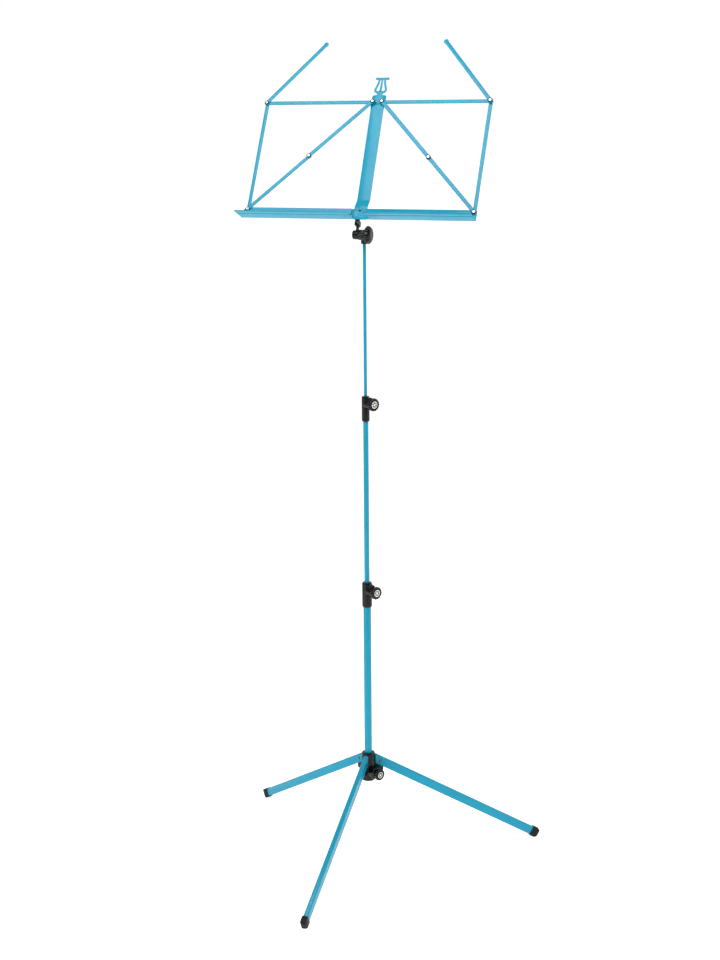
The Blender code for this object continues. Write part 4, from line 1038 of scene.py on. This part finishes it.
def build_tilt_joint():
    axis = STAND @ Matrix.Translation(TILT_AXIS)
    bore = BOLT_RADIUS + GAP
    rod_x = -TILT_AXIS.x
    rod_y = -TILT_AXIS.y
    head_left = EYE_RIGHT + GAP
    head_right = 17.0 * MM
    barrel = along_x(flute(rod(9.4 * MM, head_left, head_right, 144, 0.8 * MM), 12, 0.055,
                           8.0 * MM, 1.5))
    at_rod = Matrix.Translation((rod_x, rod_y, 0))
    sleeve = place(rod(6.2 * MM, -17.0 * MM, 8.0 * MM, 72, 1.0 * MM), at_rod)
    web = box((rod_x - 5.0 * MM, 1.0 * MM, -7.5 * MM), (rod_x + 4.0 * MM, rod_y, 6.0 * MM))
    head = unite(barrel, sleeve, web)
    head = cut(head, along_x(rod(bore, head_left - 5 * MM, head_right + 5 * MM, 40)),
               place(rod(ROD_RADIUS + GAP, -30 * MM, ROD_TOP - TILT_AXIS.z + GAP, 40), at_rod))
    add_piece("tilt_head", head, BLACK, axis, soften=0.3 * MM)

    bolt = turned([(0, -5.5 * MM), (4.8 * MM, -5.5 * MM), (4.8 * MM, -3.5 * MM),
                   (BOLT_RADIUS, -3.5 * MM), (BOLT_RADIUS, 26 * MM), (0, 26 * MM)], 48)
    add_piece("tilt_bolt", along_x(bolt), STEEL, axis)
    profile = rounded(in_mm([(0, -6.7), (2.6, -6.7), (3.0, -7.0), (6.6, -7.0), (8.0, -6.2),
                             (8.0, -3.2), (5.1, -3.2), (5.1, -5.8), (0, -5.8)]), 0.4 * MM, 3)
    add_piece("tilt_bolt_cap", along_x(turned(profile, 72)), BLACK, axis)

    profile = [(0, 9.4 * MM), (bore, 9.4 * MM), (bore, 0)]
    profile += in_mm([(9.2, 0), (15.4, 1.4), (16.4, 2.6), (16.4, 5.6), (15.6, 8.0), (13.2, 10.2),
                      (9.0, 11.6), (6.0, 11.9), (5.6, 11.5), (0, 11.5)])
    knob = flute(turned(rounded(profile, 0.9 * MM, 4), 8 * 18), 8, 0.06, 12.0 * MM, 1.3)
    place(along_x(knob), Matrix.Translation((head_right + GAP, 0, 0)))
    add_piece("tilt_knob", knob, BLACK, axis)

    back = layer(-1)[0] - GAP
    eye = along_x(rod(8.4 * MM, EYE_LEFT, EYE_RIGHT, 72, 0.5 * MM))
    stem = eased(box((-2.4 * MM, 3.0 * MM, -2.6 * MM), (2.0 * MM, 19 * MM, 3.2 * MM)), 0.7 * MM, 3)
    lug = eased(box((-5.5 * MM, 16.2 * MM, -4.6 * MM), (EYE_RIGHT, DESK_RISE + 1.0 * MM, back)),
                1.0 * MM, 4)
    tab = eased(box((-5.5 * MM, DESK_RISE - 1.5 * MM, back - 2.4 * MM),
                    (EYE_RIGHT, DESK_RISE + 11.0 * MM, back)), 0.4 * MM, 2)
    finger = eased(box((-2.1 * MM, DESK_RISE + 9.0 * MM, back - 2.4 * MM),
                       (4.5 * MM, DESK_RISE + 20.4 * MM, back)), 0.4 * MM, 2)
    bracket = unite(eye, stem, lug, tab, finger)
    bracket = cut(bracket, along_x(rod(bore, -20 * MM, 20 * MM, 40)),
                  place(rod(BRACKET_PIN_RADIUS + GAP, -20 * MM, 20 * MM, 28),
                        Matrix.Translation((0, DESK_RISE + BRACKET_PIN_RISE, 0))))
    add_piece("desk_bracket", bracket, BLACK, DESK, soften=0.3 * MM)
    tab_back = back - 2.4 * MM - GAP
    pin = [(0, tab_back - 0.9 * MM), (1.9 * MM, tab_back - 0.9 * MM),
           (2.9 * MM, tab_back - 0.3 * MM), (2.9 * MM, tab_back),
           (BRACKET_PIN_RADIUS, tab_back), (BRACKET_PIN_RADIUS, layer(-1)[1] - 0.1 * MM),
           (0, layer(-1)[1] - 0.1 * MM)]
    add_piece("bracket_rivet", turned(pin, 32), STEEL, on_desk(0, DESK_RISE + BRACKET_PIN_RISE))


# ---- studio
def build_floor():
    """A pale floor that glows, fading towards the front so that blacks stay dark."""
    g = Graph("studio_floor")
    tint = g.blend(g.spread(g.noise(3.0, 3.0), 0.0, 1.0), (0.84, 0.84, 0.84), (0.87, 0.87, 0.87))
    glow = g.spread(g.coordinate("Y"), FLOOR_GLOW_FRONT, FLOOR_GLOW, FLOOR_GLOW_START,
                    FLOOR_GLOW_FULL)
    g.finish(tint, g.spread(g.noise(40.0, 4.0), 0.55, 0.65))
    g.link(glow, g.shader.inputs["Emission Strength"])
    g.shader.inputs["Emission Color"].default_value = (1.0, 1.0, 1.0, 1.0)
    floor = bpy.data.meshes.new("studio_floor")
    floor.from_pydata([(x * FLOOR_REACH, y * FLOOR_REACH, 0)
                       for x, y in ((-1, -1), (1, -1), (1, 1), (-1, 1))], [], [(0, 1, 2, 3)])
    floor.materials.append(g.material)
    new_object("studio_floor", floor)


def build_room():
    """A world that is white behind the stand and dimmer in front of it."""
    world = bpy.data.worlds.new("studio")
    world.use_nodes = True
    tree = world.node_tree
    background = tree.nodes["Background"]
    direction = tree.nodes.new("ShaderNodeTexCoord").outputs["Generated"]
    split = tree.nodes.new("ShaderNodeSeparateXYZ")
    tree.links.new(direction, split.inputs["Vector"])
    ramp = tree.nodes.new("ShaderNodeMapRange")
    ramp.interpolation_type = "SMOOTHSTEP"
    for key, number in (("From Min", ROOM_FADE[0]), ("From Max", ROOM_FADE[1]),
                        ("To Min", ROOM_FRONT), ("To Max", ROOM_BACK)):
        ramp.inputs[key].default_value = number
    tree.links.new(split.outputs["Y"], ramp.inputs["Value"])
    tree.links.new(ramp.outputs["Result"], background.inputs["Color"])
    bpy.context.scene.world = world
    bpy.context.scene.view_settings.view_transform = "Standard"


def add_light(name, spot, aim, width, height, watts):
    lamp = bpy.data.lights.new(name, "AREA")
    lamp.shape = "RECTANGLE"
    lamp.size = width
    lamp.size_y = height
    lamp.energy = watts
    item = new_object(name, lamp)
    item.visible_camera = False
    item.location = spot
    item.rotation_euler = (Vector(aim) - Vector(spot)).to_track_quat("-Z", "Y").to_euler()


def build_lights():
    """A wide key above the front and a low strip to each side of the pole."""
    add_light("key", spot=(0.03, -1.35, 3.1), aim=(0.1, 0.05, 1.3), width=2.64, height=1.1,
              watts=61.0)
    add_light("left_strip", spot=(-0.61, -0.89, 0.62), aim=(0, 0.085, 0.62), width=0.6,
              height=1.2, watts=4.0)
    add_light("right_strip", spot=(1.24, 0.21, 0.66), aim=(0, 0.085, 0.66), width=0.5,
              height=1.2, watts=3.6)


def build_camera():
    """The photograph's view: around the pole to the right, looking down, barely rolled."""
    pole = Vector((0, POLE_SETBACK, 0))
    position = pole + Vector((CAMERA_DISTANCE * math.sin(CAMERA_AROUND),
                              -CAMERA_DISTANCE * math.cos(CAMERA_AROUND), CAMERA_HEIGHT))
    heading = CAMERA_AROUND - CAMERA_YAW
    level = math.cos(CAMERA_PITCH)
    forward = Vector((-math.sin(heading) * level, math.cos(heading) * level,
                      -math.sin(CAMERA_PITCH)))
    right = Vector((math.cos(heading), math.sin(heading), 0))
    up = right.cross(forward)
    turned_right = right * math.cos(CAMERA_ROLL) - up * math.sin(CAMERA_ROLL)
    turned_up = up * math.cos(CAMERA_ROLL) + right * math.sin(CAMERA_ROLL)
    rotation = Matrix((turned_right, turned_up, -forward)).transposed()
    data = bpy.data.cameras.new("camera")
    data.sensor_fit = "AUTO"
    data.sensor_width = SENSOR_WIDTH
    data.lens = LENS
    data.clip_end = 100.0
    camera = new_object("camera", data)
    camera.matrix_world = Matrix.Translation(position) @ rotation.to_4x4()
    bpy.context.scene.camera = camera


build_pole()
build_hub()
for leg, turn in LEG_AZIMUTHS.items():
    build_leg(leg, turn)
build_tilt_joint()
build_spine()
for half in (-1, 1):
    build_desk_side(half)
build_ledge_rivets()
build_floor()
build_room()
build_lights()
build_camera()
